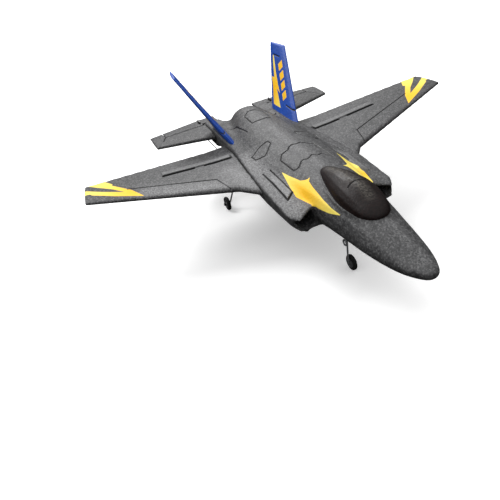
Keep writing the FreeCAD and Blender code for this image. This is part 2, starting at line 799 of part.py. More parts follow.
def power_unit(word, side):
    """Motor can, holder under the tail boom, shaft and propeller."""
    centre = cell("motor_half", side)
    can = rod(f"motor_can_{word}", (centre, "Size.motor_front", "Size.motor_height"), "y",
              "Size.motor_radius", "Size.motor_length")
    bore = rod(f"motor_bore_{word}",
               (centre, "Size.motor_front + Size.motor_length - 3.0", "Size.motor_height"), "y",
               "Size.shaft_radius + Size.running_clearance", "4")
    keep(cut(f"motor_{word}", can, bore))
    sleeve = rod(f"pod_sleeve_{word}", (centre, "Size.pod_front", "Size.motor_height"), "y",
                 "Size.motor_radius + Size.pod_wall", "Size.pod_length")
    web = box(f"pod_web_{word}", (f"{centre} - Size.pod_web / 2", "Size.pod_front",
                                  "Size.motor_height + Size.motor_radius"),
              ("Size.pod_web", "Size.pod_length",
               "Size.deck_height - Size.deck_thickness - Size.motor_height - Size.motor_radius"))
    foot = box(f"pod_foot_{word}", (f"{centre} - Size.pod_foot_half", "Size.pod_front",
                                    "Size.deck_height - Size.deck_thickness - 1.2"),
               ("2 * Size.pod_foot_half", "Size.pod_length", "1.2"))
    holder = fuse(f"pod_solid_{word}", [sleeve, web, foot])
    keep(cut(f"motor_pod_{word}", holder, can))
    shaft = keep(rod(f"motor_shaft_{word}",
                     (centre, "Size.motor_front + Size.motor_length - 2.6", "Size.motor_height"),
                     "y", "Size.shaft_radius",
                     "Size.prop_station + Size.prop_hub_length / 2 - Size.motor_front"
                     " - Size.motor_length + 2.6"))
    keep(cut(f"propeller_{word}", propeller(word, side), shaft))


# --------------------------------------------------------------------------
# Servos and their arms
# --------------------------------------------------------------------------
def servo(word, side):
    low = along(side, "Size.servo_inner", "Size.servo_depth")
    case = box(f"servo_case_{word}", (low, "Size.servo_axis_station - 5.0",
                                      "Size.servo_axis_height - Size.servo_width / 2"),
               ("Size.servo_depth", "Size.servo_length", "Size.servo_width"))
    outer = "Size.servo_inner + Size.servo_depth"
    boss = rod(f"servo_boss_{word}", (along(side, outer, "0.9"), "Size.servo_axis_station",
                                      "Size.servo_axis_height"), "x", "Size.servo_boss_radius",
               "0.9")
    shaft = rod(f"servo_shaft_{word}", (along(side, outer, "3.0"), "Size.servo_axis_station",
                                        "Size.servo_axis_height"), "x",
                "Size.servo_shaft_radius", "3.0")
    return keep(fuse(f"servo_{word}", [case, boss, shaft]))


def servo_arm(word, side):
    low = along(side, "Size.arm_plane", "Size.arm_thickness")
    axis = ("Size.servo_axis_station", "Size.servo_axis_height")
    hub = rod(f"arm_hub_{word}", (low, *axis), "x", "Size.arm_hub_radius", "Size.arm_thickness")
    tip = rod(f"arm_tip_{word}", (low, axis[0], "Size.servo_axis_height + Size.arm_radius"), "x",
              "Size.arm_tip_radius", "Size.arm_thickness")
    bar = box(f"arm_bar_{word}", (low, "Size.servo_axis_station - 1.2", axis[1]),
              ("Size.arm_thickness", "2.4", "Size.arm_radius"))
    solid = fuse(f"arm_solid_{word}", [hub, tip, bar])
    bore = rod(f"arm_bore_{word}", (along(side, "Size.arm_plane - 1", "4"), *axis), "x",
               "Size.servo_shaft_radius + Size.running_clearance", "4")
    hole = rod(f"arm_hole_{word}", (along(side, "Size.arm_plane - 1", "4"), axis[0],
                                    "Size.servo_axis_height + Size.arm_radius"), "x",
               "Size.rod_hole_radius", "4")
    return keep(cut(f"servo_arm_{word}", solid, fuse(f"arm_holes_{word}", [bore, hole])))


# --------------------------------------------------------------------------
# Landing gear
# --------------------------------------------------------------------------
def wheel(prefix, suffix, half, station):
    """Hub with a running bore, tyre and retaining collar; the axle lies along X."""
    side = STARBOARD if suffix == "_right" else PORT
    centre = f"{side} * {half}"
    axle = (station, "Size.tyre_radius")
    bore = rod(f"{prefix}_bore{suffix}", (f"{centre} - 3", *axle), "x",
               "Size.axle_radius + Size.running_clearance", "6")
    blank = rod(f"{prefix}_hub_blank{suffix}", (f"{centre} - Size.hub_width / 2", *axle), "x",
                "Size.hub_radius", "Size.hub_width")
    keep(cut(f"{prefix}_hub{suffix}", blank, bore))
    round_blank = rod(f"{prefix}_tyre_blank{suffix}", (f"{centre} - Size.tyre_width / 2", *axle),
                      "x", "Size.tyre_radius", "Size.tyre_width")
    doc.recompute()
    rounded = doc.addObject("Part::Fillet", f"{prefix}_tyre_round{suffix}")
    rounded.Base = round_blank
    rims = [index for index, edge in enumerate(round_blank.Shape.Edges, start=1)
            if isinstance(edge.Curve, Part.Circle)]
    shoulder = size("tyre_shoulder")
    rounded.Edges = [(index, shoulder, shoulder) for index in rims]
    keep(cut(f"{prefix}_tyre{suffix}", rounded, blank))
    collar_start = f"{half} + Size.hub_width / 2 + Size.wheel_side_play"
    return rod(f"{prefix}_collar_blank{suffix}",
               (along(side, collar_start, "Size.collar_length"), *axle), "x",
               "Size.collar_radius", "Size.collar_length")


def nose_gear():
    collar = wheel("nose", "", "0", "Size.nose_gear_station")
    leg = -size("nose_leg_half")
    station = size("nose_gear_station")
    axle = size("tyre_radius")
    top = size("nose_socket_height") + 4.0
    end = size("hub_width") / 2 + size("wheel_side_play") + size("collar_length")
    end += size("axle_end")
    strut = bent_wire("nose_leg_run", [(leg, station, top), (leg, station, axle),
                                       (end, station, axle)], size("axle_radius"), 1.0)
    coil = doc.addObject("Part::Torus", "nose_leg_coil")
    coil.setExpression("Radius1", "Size.nose_coil_radius")
    coil.setExpression("Radius2", "Size.axle_radius")
    coil.Placement = Placement(Vector(), Rotation(Vector(0, 1, 0), 90))
    coil.setExpression(".Placement.Base.x", "-Size.nose_leg_half - 0.5")
    coil.setExpression(".Placement.Base.y", "Size.nose_gear_station + Size.nose_coil_radius")
    coil.setExpression(".Placement.Base.z", "Size.nose_coil_height")
    wire = keep(fuse("nose_gear_wire", [strut, coil]))
    keep(cut("nose_collar", collar, wire))
    plug = rod("nose_plug", ("-Size.nose_leg_half", "Size.nose_gear_station",
                             "Size.nose_socket_height - 2.6"), "z", "Size.socket_radius",
               "Size.socket_depth")
    return keep(cut("nose_gear_socket", plug, wire))


def main_gear(word, side):
    collar = wheel("main", f"_{word}", "Size.main_gear_half", "Size.main_gear_station")
    leg = side * size("main_leg_half")
    foot = side * (size("main_gear_half") - size("hub_width") / 2 - 0.9)
    station = size("main_gear_station")
    axle = size("tyre_radius")
    bottom = size("main_leg_height")
    end = side * (size("main_gear_half") + size("hub_width") / 2 + size("wheel_side_play")
                  + size("collar_length") + size("axle_end"))
    points = [(leg, size("main_leg_station"), bottom + 4.5),
              (leg, size("main_leg_station"), bottom - 1.5),
              (foot, station, axle), (end, station, axle)]
    wire = keep(bent_wire(f"main_gear_wire_{word}", points, size("axle_radius"), 1.0))
    keep(cut(f"main_collar_{word}", collar, wire))
    plug = rod(f"main_plug_{word}", (cell("main_leg_half", side), "Size.main_leg_station",
                                     "Size.main_leg_height - 1.0"), "z", "Size.socket_radius",
               "Size.socket_depth")
    return keep(cut(f"main_gear_socket_{word}", plug, wire))


# --------------------------------------------------------------------------
# Belly pan, battery door and its hinge
# --------------------------------------------------------------------------
def knuckles(label, spans):
    pieces = []
    for index, (start, length) in enumerate(spans):
        pieces.append(rod(f"{label}_{index}", ("Size.door_pin_half", str(start),
                                               "Size.door_pin_height"), "y",
                          "Size.door_knuckle_radius", str(length)))
    return pieces


def knuckle_slots(label, spans, corner_x, width):
    pieces = []
    for index, (start, length) in enumerate(spans):
        pieces.append(box(f"{label}_{index}", (corner_x, f"{start} - 0.3",
                                               "Size.belly_height - 0.1"),
                          (width, f"{length} + 0.6", "1.4")))
    return pieces


PAN_KNUCKLES = ((-28.0, 8.0), (-8.0, 8.0), (12.0, 8.0))
DOOR_KNUCKLES = ((-19.6, 11.2), (0.4, 11.2))


def belly(foam):
    zone = box("pan_zone", ("-Size.pan_half", "Size.pan_front", "Size.belly_height - 5"),
               ("2 * Size.pan_half", "Size.pan_rear - Size.pan_front",
                "Size.pan_thickness + 5"))
    pan_blank = common("pan_blank", foam, zone)
    pin_bore = rod("door_pin_bore", ("Size.door_pin_half", "Size.door_front - 1",
                                     "Size.door_pin_height"), "y",
                   "Size.door_pin_radius + Size.running_clearance",
                   "Size.door_rear - Size.door_front + 2")
    pin = keep(rod("door_hinge_pin", ("Size.door_pin_half", "Size.door_front",
                                      "Size.door_pin_height"), "y", "Size.door_pin_radius",
                   "Size.door_rear - Size.door_front"))
    opening = box("door_opening", ("-Size.door_half - Size.door_gap",
                                   "Size.door_front - Size.door_gap", "Size.belly_height - 6"),
                  ("2 * (Size.door_half + Size.door_gap)",
                   "Size.door_rear - Size.door_front + 2 * Size.door_gap", "12"))
    switch_case = box("switch_case", ("-Size.switch_width / 2",
                                      "Size.switch_station - Size.switch_length / 2",
                                      "Size.belly_height"),
                      ("Size.switch_width", "Size.switch_length", "Size.switch_depth"))
    pan_hollow = fuse("pan_hollow", [opening, switch_case] + knuckle_slots(
        "pan_slot", DOOR_KNUCKLES, "Size.door_half - 0.2", "2.0"))
    pan_plate = cut("pan_plate", pan_blank, pan_hollow)
    stand_pad = box("stand_pad", ("-Size.stand_pad_half", "Size.stand_pad_front",
                                  "Size.belly_height - Size.stand_pad_depth"),
                    ("2 * Size.stand_pad_half", "Size.stand_pad_length",
                     "Size.stand_pad_depth"))
    pan_solid = fuse("pan_solid", [pan_plate, stand_pad] + knuckles("pan_knuckle", PAN_KNUCKLES))
    keep(cut("belly_pan", pan_solid, pin))

    door_plate = box("door_plate", ("-Size.door_half", "Size.door_front", "Size.belly_height"),
                     ("2 * Size.door_half", "Size.door_rear - Size.door_front",
                      "Size.door_thickness"))
    notches = fuse("door_notches", knuckle_slots("door_slot", PAN_KNUCKLES,
                                                 "Size.door_half - 1.4", "2.0"))
    door_cut = cut("door_cut", door_plate, notches)
    door_solid = fuse("door_solid", [door_cut] + knuckles("door_knuckle", DOOR_KNUCKLES))
    keep(cut("battery_door", door_solid, pin_bore))

    slot = box("switch_slot", ("-Size.switch_knob / 2 - 0.1",
                               "Size.switch_station - Size.switch_knob / 2 - 0.1",
                               "Size.belly_height - 1"),
               ("Size.switch_knob + 0.2", "Size.switch_knob + Size.switch_travel + 0.2", "3.2"))
    keep(cut("power_switch", switch_case, slot))
    keep(box("switch_knob", ("-Size.switch_knob / 2", "Size.switch_station - Size.switch_knob / 2",
                             "Size.belly_height - 1.4"),
             ("Size.switch_knob", "Size.switch_knob", "3.4")))
    return zone


# --------------------------------------------------------------------------
# Equipment in the bay
# --------------------------------------------------------------------------
# low x, y ahead of the board's middle, width and length of each chip under the board
BOARD_CHIPS = ((-8, -12, 5, 5), (2, -10, 6, 6), (-7, 2, 4, 8), (3, 4, 5, 4))
# distance of each battery lead from the connector's inner side
LEAD_OFFSETS = (1.4, 4.2)


def equipment():
    floor = "Size.belly_height + Size.door_thickness + Size.battery_lift"
    keep(box("battery", ("-Size.battery_width / 2",
                         "Size.battery_station - Size.battery_length / 2", floor),
             ("Size.battery_width", "Size.battery_length", "Size.battery_depth")))
    roof = "Size.bay_roof - Size.tape_depth"
    keep(box("board_tape", ("-Size.board_width / 2 + 2", "Size.board_station - 8", roof),
             ("Size.board_width - 4", "16", "Size.tape_depth")))
    plate = box("board_plate", ("-Size.board_width / 2",
                                "Size.board_station - Size.board_length / 2",
                                f"{roof} - Size.board_depth"),
                ("Size.board_width", "Size.board_length", "Size.board_depth"))
    chips = []
    for index, (x, y, width, length) in enumerate(BOARD_CHIPS):
        chips.append(box(f"board_chip_{index}", (str(x), f"Size.board_station + {y}",
                                                 f"{roof} - Size.board_depth - Size.chip_depth"),
                         (str(width), str(length), "Size.chip_depth")))
    keep(fuse("flight_board", [plate] + chips))
    keep(box("battery_connector", ("-Size.connector_width - 2", "Size.connector_station - 6",
                                   "Size.belly_height + Size.pan_thickness"),
             ("Size.connector_width", "Size.connector_length", "Size.connector_depth")))
    leads = []
    for index, offset in enumerate(LEAD_OFFSETS):
        leads.append(rod(f"lead_{index}", (f"-2 - {offset}",
                                           "Size.battery_station + Size.battery_length / 2",
                                           "Size.belly_height + Size.pan_thickness + 2.5"), "y",
                         "0.6", "Size.connector_station - 6 - Size.battery_station"
                                " - Size.battery_length / 2"))
    keep(fuse("battery_leads", leads))


# --------------------------------------------------------------------------
# Assembly
# --------------------------------------------------------------------------
belly_trim = box("belly_trim", ("-Size.belly_trim_half", "Size.belly_trim_front",
                                "Size.belly_height - Size.belly_trim_depth"),
                 ("2 * Size.belly_trim_half", "Size.belly_trim_length",
                  "Size.belly_trim_depth"))
foam = cut("foam_trimmed", outer_foam, belly_trim)

spars = [keep(spar(word, side)) for word, side in SIDES.items()]
joiner_blank = box("joiner_blank", ("-Size.joiner_length / 2",
                                    "Size.spar_station - Size.joiner_width / 2",
                                    "Size.spar_height - Size.joiner_thickness / 2"),
                   ("Size.joiner_length", "Size.joiner_width", "Size.joiner_thickness"))
keep(cut("spar_joiner", joiner_blank, fuse("joiner_bores", spars)))

fins = []
blocks = []
for (word, side), spar_rod in zip(SIDES.items(), spars):
    keep(cut(f"wing_{word}", wing(word, side), fuse(f"wing_tools_{word}", [foam, spar_rod])))

    blank = stab_blank(word, side)
    rod_span = ("(Size.elevator_outer - Size.elevator_inner + Size.elevator_gap"
                " + Size.hinge_rod_overrun)")
    rod_start = (along(side, "Size.elevator_inner", rod_span), "Size.hinge_station",
                 "Size.hinge_height")
    hinge_rod = keep(rod(f"hinge_rod_{word}", rod_start, "x", "Size.hinge_rod_radius", rod_span))
    rod_bore = rod(f"hinge_bore_{word}", rod_start, "x",
                   "Size.hinge_rod_radius + Size.running_clearance", rod_span)
    horn_part = keep(horn(word, side))
    elevator_bored = elevator(word, side, blank, rod_bore)
    keep(cut(f"elevator_{word}", elevator_bored, horn_part))
    slot_span = "(Size.elevator_outer - Size.elevator_inner + 2 * Size.elevator_gap)"
    slot = box(f"elevator_slot_{word}",
               (along(side, "(Size.elevator_inner - Size.elevator_gap)", slot_span), boom_rear,
                "Size.tail_zone_base"),
               (slot_span, "Size.tail_zone_length", "Size.tail_zone_height"))
    block_blank = hinge_block(word, side)
    blocks.append(block_blank)
    keep(cut(f"hinge_block_{word}", block_blank, hinge_rod))
    keep(cut(f"stab_{word}", blank, fuse(f"stab_tools_{word}", [slot, hinge_rod, foam])))
    fins.append(keep(fin(word, side)))
    keep(pushrod(word, side))
    power_unit(word, side)

servos = [servo(word, side) for word, side in SIDES.items()]
for word, side in SIDES.items():
    servo_arm(word, side)
sockets = [nose_gear()] + [main_gear(word, side) for word, side in SIDES.items()]
pan_zone = belly(foam)
equipment()

bay = box("bay", ("-Size.bay_half", "Size.bay_front", "Size.belly_height"),
          ("2 * Size.bay_half", "Size.bay_rear - Size.bay_front",
           "Size.bay_roof - Size.belly_height"))
plugs = [doc.getObject(name) for name in ("nose_plug", "main_plug_left", "main_plug_right")]
cavities = fuse("foam_cavities", [pan_zone, bay, canopy_body, joiner_blank] + spars + servos
                + plugs + fins + blocks)
keep(cut("fuselage_foam", foam, cavities))

doc.recompute()

# --------------------------------------------------------------------------
# Check every object, then write the parts
# --------------------------------------------------------------------------
faults = [obj.Label for obj in doc.Objects if "Invalid" in obj.State or "Error" in obj.State]
for name, feature in parts.items():
    shape = feature.Shape
    if shape.isNull() or not shape.isValid() or not shape.Solids:
        faults.append(name)
if faults:
    raise RuntimeError(f"failed objects: {faults}")

os.makedirs("parts", exist_ok=True)
whole = FreeCAD.BoundBox()
for name, feature in sorted(parts.items()):
    feature.Shape.exportStep(f"parts/{name}.step")
    whole.add(feature.Shape.BoundBox)
    print(name, len(feature.Shape.Solids), round(feature.Shape.Volume, 2))
print(len(parts), "parts", whole)
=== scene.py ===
"""Looks of the twin-fin foam jet: moulded bead-foam skins with pressed panel lines and printed
markings, wheels, wires, propellers and small fittings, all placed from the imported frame."""

import bmesh
import bpy
import json
import math
import numpy as np
from mathutils import Matrix, Vector


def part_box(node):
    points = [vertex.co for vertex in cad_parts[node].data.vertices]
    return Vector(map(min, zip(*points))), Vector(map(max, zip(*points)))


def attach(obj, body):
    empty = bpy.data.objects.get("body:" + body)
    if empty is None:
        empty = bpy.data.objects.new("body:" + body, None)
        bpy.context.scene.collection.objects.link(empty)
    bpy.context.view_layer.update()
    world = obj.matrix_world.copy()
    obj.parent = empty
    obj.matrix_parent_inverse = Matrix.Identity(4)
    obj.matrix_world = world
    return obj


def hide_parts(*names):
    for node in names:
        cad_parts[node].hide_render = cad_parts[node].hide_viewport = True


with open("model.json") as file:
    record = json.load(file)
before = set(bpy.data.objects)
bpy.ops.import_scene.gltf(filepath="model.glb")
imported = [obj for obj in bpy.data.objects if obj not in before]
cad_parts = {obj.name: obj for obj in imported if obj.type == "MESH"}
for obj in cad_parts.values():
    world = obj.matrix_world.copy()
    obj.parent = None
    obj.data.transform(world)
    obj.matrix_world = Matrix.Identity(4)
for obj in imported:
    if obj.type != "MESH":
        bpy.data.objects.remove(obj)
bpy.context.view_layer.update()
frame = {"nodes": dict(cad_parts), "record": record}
nodes = frame["nodes"]

MM = 0.001
WELD = 1e-6
SIDES = (("left", 1), ("right", -1))

# Camera: the viewing angle of the photo, with no shift
CAMERA_AZIMUTH = math.radians(-17.97)
CAMERA_ELEVATION = math.radians(36.68)
CAMERA_ROLL = math.radians(-10.64)
CAMERA_LENS = 39.6
CAMERA_SENSOR = 36.0
CAMERA_CLIP = 0.01
CAMERA_PLACE = Vector((-0.147588, -0.302144, 0.238970))

# Foam: side of the cells that the skins are rebuilt from, in mm
FUSELAGE_CELL = 0.9
WING_CELL = 0.75
TAIL_CELL = 0.6
CANOPY_CELL = 0.7

# Smoothing of the skins: rounds, how fast hollows fill and how fast edges wear
BODY_RELAX = (3, 0.5, 0.3)
SEAT_RELAX = (8, 0.5, 0.15)
HOLLOW_RELAX = (60, 0.6, 0.12)
PANEL_RELAX = (4, 0.5, 0.35)
TAIL_RELAX = (2, 0.4, 0.2)
CANOPY_RELAX = (4, 0.5, 0.3)

# Where the skins are refined: reach beside lines and edges in cells, and a margin in mm
LINE_REACHES = (2.0, 1.4)
LINE_MARGIN = 0.6
EDGE_REACH = 1.3

# How far a face turns towards a view axis before its side is drawn on
TOP_FACING = 0.1
SIDE_FACING = 0.4

# The deck: height it starts at and least upward turn
DECK_LEVEL = 51.5
DECK_FACING = 0.05

# The wide soft hollow between hump and side decks: (border, fade) across, ahead, behind, in mm,
# then its fade upwards and over the turn of the surface
HOLLOW_ACROSS = (32.0, 4.0)
HOLLOW_AHEAD = (-40.0, 12.0)
HOLLOW_BEHIND = (118.0, 8.0)
HOLLOW_RISE = 2.0
HOLLOW_TURN = 0.3

# The foam round the canopy's foot: (border, fade) across, least height, middle and half length
SEAT_ACROSS = (15.5, 3.0)
SEAT_LEVEL = 57.0
SEAT_MIDDLE = -60.0
SEAT_REACH = 34.0

# Panel lines: depth and half width of the pressed groove, half width of its dark core, in mm
LINE_DEPTH = 0.5
LINE_HALF = 0.45
CORE_HALF = 0.42
CORE_SOFT = (0.12, 0.14)
FAR = 5.0
REMOTE = 1e3
TINY = 1e-9

# Outlines on the top of the body, (x, y) in mm, all given as they are on the port side. FLASH is the
# starboard print, mirrored, and FLASH_PORT the wider port one. DEEP is where a print's colour is
# deepest and FADE how far from there it is palest. SILL is the lower edge of both, (y, z).
FLASH = [(20.8, -8.2), (19.4, -17.2), (17.2, -27.7), (15.4, -30.2), (13.6, -31.3), (11.9, -31.0),
         (14.2, -33.6), (15.1, -39.7), (16.1, -54.0), (16.1, -64.0), (15.2, -71.8), (24.0, -66.0),
         (24.0, -56.0), (20.8, -47.3), (22.4, -41.5), (24.5, -34.5), (23.2, -24.0)]
FLASH_SILL = [(-71.8, 57.8), (-63.2, 55.5), (-55.0, 54.5), (-47.3, 53.9), (-40.0, 53.5)]
FLASH_DEEP = (-23.5, -38.0)
FLASH_FADE = 30.0
FLASH_PORT = FLASH[:11] + [(24.5, -66.0), (25.5, -56.0), (23.6, -47.3), (24.9, -40.0), (25.9, -33.9),
                           (23.9, -24.0)]
FLASH_PORT_DEEP = (26.0, -38.0)
FLASH_PORT_FADE = 10.0
BLISTER = [(24.4, 2.6), (29.4, 3.6), (30.0, -33.7), (24.1, -29.3)]
BLISTER_RAMP = (3.0, -14.0)
BLISTER_LIFT = (1.1, 2.6)
BLISTER_SHADES = (0.15, 0.05)
BLISTER_SEAM_END = (24.4, -18.0)
SIDE_PANEL = [(26.0, 29.7), (19.0, 31.0), (11.0, 32.2), (10.8, 27.5), (16.2, 21.4), (20.2, 18.2),
              (25.7, 23.5)]
FAN_DOOR = [(13.9, -17.0), (13.4, -4.0), (12.6, 7.8), (5.6, 13.9), (3.0, 13.4), (-0.7, 14.4),
            (-3.8, 12.7), (-6.1, 9.6), (-12.0, 8.0), (-16.0, 2.0), (-15.5, -15.8), (-11.8, -16.1),
            (-6.6, -10.6), (-4.5, -9.8), (-2.0, -10.9), (3.0, -7.4), (6.1, -10.4), (9.6, -8.9)]
HUMP_PANEL = [(8.0, 65.0), (8.0, 79.5), (2.8, 84.7), (-2.8, 84.7), (-8.0, 79.5), (-8.0, 65.0)]
SIDE_SEAM = [(21.6, 85.9), (16.2, 79.0), (16.5, 72.5), (15.5, 58.8)]

# Outlines on the wing top, port side
WING_SEAM = [(53.0, 6.0), (56.8, 21.5), (76.0, 28.3), (115.0, 42.0)]
STRIP = [(35.5, 47.2), (88.0, 47.2), (88.0, 52.4), (35.5, 52.4)]
STRIP_LIFT = (0.9, 0.7)
STRIP_SHADE = 0.25
STRIP_SHADES = ([(88.2, 46.6), (64.6, 46.6)], [(56.4, 46.6), (35.6, 46.6), (34.6, 50.8)])
TIP_BLADE = [(107.0, 27.2), (113.0, 39.5), (123.5, 53.5), (122.5, 55.2), (129.0, 67.0), (140.5, 64.5),
             (132.0, 55.0), (124.0, 47.4), (117.5, 38.8)]
TIP_BRANCH = [(107.0, 27.2), (117.5, 38.8), (131.0, 47.4), (143.6, 56.8), (146.5, 56.8), (146.5, 49.5),
              (139.6, 48.6), (138.6, 46.4), (125.0, 37.2)]
TIP_DEEP = (112.0, 36.0)
TIP_FADE = 40.0
STAB_SEAM = [(65.8, 114.6), (69.5, 108.0)]

# Outlines on the fins, (y, z) in mm
BOLT = [(122.1, 90.6), (119.8, 90.0), (109.7, 80.7), (99.8, 72.7), (93.5, 68.5), (100.1, 70.4),
        (85.9, 59.7), (98.7, 59.3), (107.6, 69.9), (114.4, 76.2), (109.4, 76.6), (118.0, 85.7)]
BOLT_DEEP = (104.0, 70.0)
BOLT_FADE = 26.0
FIN_SEAMS = ([(121.6, 91.0), (112.6, 90.8)], [(79.5, 63.2), (67.8, 62.1)])
BAR_FIRST = (83.0, 68.2)
BAR_STEP = (6.6, 5.7)
BAR_LENGTH = (4.6, 4.0)
BAR_WIDTH = (2.6, -3.4)
BAR_COUNT = 4
BAR_FADE = 30.0

# Painted highlights, bands where the skin is painted paler to stand for light falling on it: a line on the
# port side, (x, y) in mm, with how far it reaches and, on the middle line, how strong it is. The table by
# side gives the strength on each side, higher on the starboard side, where the key light falls.
EDGE_HIGHLIGHT = ([(56.0, 13.0), (76.0, 19.5), (104.0, 30.0)], 13.0)
ROOT_HIGHLIGHT = ([(38.0, 2.0), (44.0, 26.0)], 17.0)
DECK_HIGHLIGHT = ([(30.0, -46.0), (29.0, -10.0), (29.0, 30.0)], 16.0)
SPINE_HIGHLIGHT = ([(0.0, -26.0), (0.0, 50.0)], 5.0, 0.5)
NOSE_HIGHLIGHT = ([(1.5, -96.0), (2.0, -128.0)], 5.0, 0.45)
CANOPY_HIGHLIGHT = ([(0.5, -36.0), (0.0, -78.0)], 5.5, 1.0)
SIDE_HIGHLIGHT = {"left": 0.2, "right": 1.0}

# Canopy frame arc, (x, y) in mm
CANOPY_ARC = [(-6.2, -66.7), (-2.6, -65.0), (0.0, -64.6), (2.6, -65.0), (6.2, -66.7)]

# Air left round the fixed hinge blocks, in metres
HINGE_GAP = 0.9 * MM

# Canopy seat: height of the foam round the canopy's foot along the body, (y, z) in mm, and the
# width of the shell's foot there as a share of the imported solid's
SEAT = [(-91.0, 60.2), (-84.0, 60.5), (-70.0, 61.4), (-60.0, 62.2), (-51.5, 62.8), (-43.0, 63.3),
        (-27.0, 64.2)]
FOOT_SHARE = [(-91.0, 1.0), (-82.0, 1.0), (-72.0, 0.95), (-60.0, 0.91), (-50.0, 0.87), (-36.0, 0.86),
              (-27.0, 0.9)]

# Foam texture in mm: size of beads, of their mottling, of the bright flecks and of broad patches
BEAD = 2.2
MOTTLE = 1.1
FLECK = 0.9
PATCH = 14.0
BEAD_RIM = 0.16
ACCENT = "E8A80C"
LINE_INK = "0B0B0C"
WAVE_TURN = 6.28

# Fittings: width of the softened edges in mm, and the angles in degrees for them
FITTING_EDGE = 0.18
WIRE_EDGE = 0.05
PUSHROD_EDGE = 0.03
BEVEL_SEGMENTS = 2
FLAT_ANGLE = 0.5
BEVEL_ANGLE = 40
SMOOTH_ANGLE = 35

# Wheels in mm: tyre with a bead on each side wall, hub with its boss, rim and spokes
ACROSS = (1, 0, 0)
TYRE_SIDES = 56
TYRE_SHOULDER = 0.9
TYRE_SEAT = 0.05
BEAD_STATIONS = ((0.5, -0.12), (0.85, 0.0), (1.2, -0.12), (0.85, -0.3))
BOSS = (0.62, 1.35, 0.25, 3)
BOSS_SIDES = 40
RIM_DEPTH = 0.7
RIM_SHARES = (0.8, 0.9)
RIM_SIDES = 48
SPOKE_COUNT = 5
SPOKE_INNER = (1.2, 0.5)
SPOKE_OUTER = (0.5, 0.36)
SPOKE_HALF_SHARE = 0.55

# Propeller blades: share of the radius, chord as a share of it, pitch in degrees
BLADE = ((0.09, 0.16, 34), (0.2, 0.21, 31), (0.35, 0.27, 27), (0.5, 0.29, 23), (0.65, 0.275, 20),
         (0.8, 0.24, 17), (0.9, 0.19, 15), (0.96, 0.13, 14), (0.99, 0.06, 13))
BLADE_THICK = 0.16
BLADE_CAMBER = 0.03
BLADE_STEPS = 12
BLADE_ANGLE = 50
SPINNER = (0.5, 2.6, 0.8, 4)
SPINNER_SIDES = 40

# Stage: floor half size in metres and its glow, lights as (name, place, size, power), and the
# overhead light's borders and strengths
FLOOR_HALF = 4.0
FLOOR_GLOW = 0.35
FLOOR_GRAIN = 300.0
LIGHT_TARGET = (0, 0, 0.05)
LIGHTS = (("key", (-0.42, 0.62, 0.85), 0.5, 7.0), ("sheen", (0.26, 0.86, 0.70), 0.3, 5.0))
TENT = {"From Min": 0.1, "From Max": 0.9, "To Min": 0.05, "To Max": 1.05}


# ---------------------------------------------------------------- meshes

def places_of(mesh):
    """The mesh's vertex places in metres, one row each."""
    flat = np.empty(len(mesh.vertices) * 3)
    mesh.vertices.foreach_get("co", flat)
    return flat.reshape(-1, 3)


def normals_of(mesh):
    flat = np.empty(len(mesh.vertices) * 3)
    mesh.vertices.foreach_get("normal", flat)
    return flat.reshape(-1, 3)


def move_to(mesh, places):
    mesh.vertices.foreach_set("co", places.ravel())
    mesh.update()


def object_of(name, mesh):
    piece = bpy.data.objects.new(name, mesh)
    bpy.context.scene.collection.objects.link(piece)
    return piece


def settle(piece):
    """Applies every modifier of a piece."""
    bpy.context.view_layer.update()
    graph = bpy.context.evaluated_depsgraph_get()
    mesh = bpy.data.meshes.new_from_object(piece.evaluated_get(graph))
    piece.modifiers.clear()
    piece.data = mesh


def welded(name, *sources):
    """One copy of CAD nodes' meshes with their corners joined."""
    shape = bmesh.new()
    for node in sources:
        shape.from_mesh(nodes[node].data)
    bmesh.ops.remove_doubles(shape, verts=shape.verts, dist=WELD)
    mesh = bpy.data.meshes.new(name)
    shape.to_mesh(mesh)
    shape.free()
    mesh.materials.clear()
    return mesh


def smooth_shaded(mesh, angle=None):
    mesh.polygons.foreach_set("use_smooth", [True] * len(mesh.polygons))
    if angle is not None:
        mesh.set_sharp_from_angle(angle=math.radians(angle))
    mesh.update()


def finish_piece(piece, material, slot, body, *replaced):
    """Gives a piece its material and its body and hides the CAD nodes it stands for. The slot argument is not
    used.
    """
    piece.data.materials.clear()
    piece.data.materials.append(material)
    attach(piece, body)
    if replaced:
        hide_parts(*replaced)
    return piece


# ---------------------------------------------------------------- foam skins

def foam_skin(name, cell, *sources):
    """CAD foam solids rebuilt as one even skin of small faces."""
    piece = object_of(name, welded(name, *sources))
    voxels = piece.modifiers.new("voxels", "REMESH")
    voxels.mode = "VOXEL"
    voxels.voxel_size = cell * MM
    settle(piece)
    return piece


def relax(piece, rounds, fill, wear, region=None):
    """Smooths a skin: each vertex goes part of the way to its neighbours, by fill where that
    fills a hollow and by wear where it rounds an edge off."""
    mesh = piece.data
    edges = np.empty(len(mesh.edges) * 2, int)
    mesh.edges.foreach_get("vertices", edges)
    first, second = edges.reshape(-1, 2).T
    count = len(mesh.vertices)
    neighbours = np.bincount(edges, minlength=count)[:, None]
    weight = 1.0 if region is None else region(places_of(mesh) / MM, normals_of(mesh))
    for _ in range(rounds):
        places = places_of(mesh)
        total = np.empty_like(places)
        for axis in range(3):
            total[:, axis] = (np.bincount(first, weights=places[second, axis], minlength=count)
                              + np.bincount(second, weights=places[first, axis], minlength=count))
        step = total / neighbours - places
        outward = (step * normals_of(mesh)).sum(1) > 0
        pull = np.where(outward, fill, wear) * weight
        move_to(mesh, places + pull[:, None] * step)


def path_distance(flat, points, closed=False):
    """Distance of each flat place to a broken line."""
    ends = points[1:] + points[:1] if closed else points[1:]
    best = np.full(len(flat), REMOTE)
    for start, end in zip(points, ends):
        start, end = np.array(start), np.array(end)
        run = end - start
        share = np.clip((flat - start) @ run / (run @ run), 0, 1)
        gap = np.linalg.norm(flat - start - share[:, None] * run, axis=1)
        best = np.minimum(best, gap)
    return best


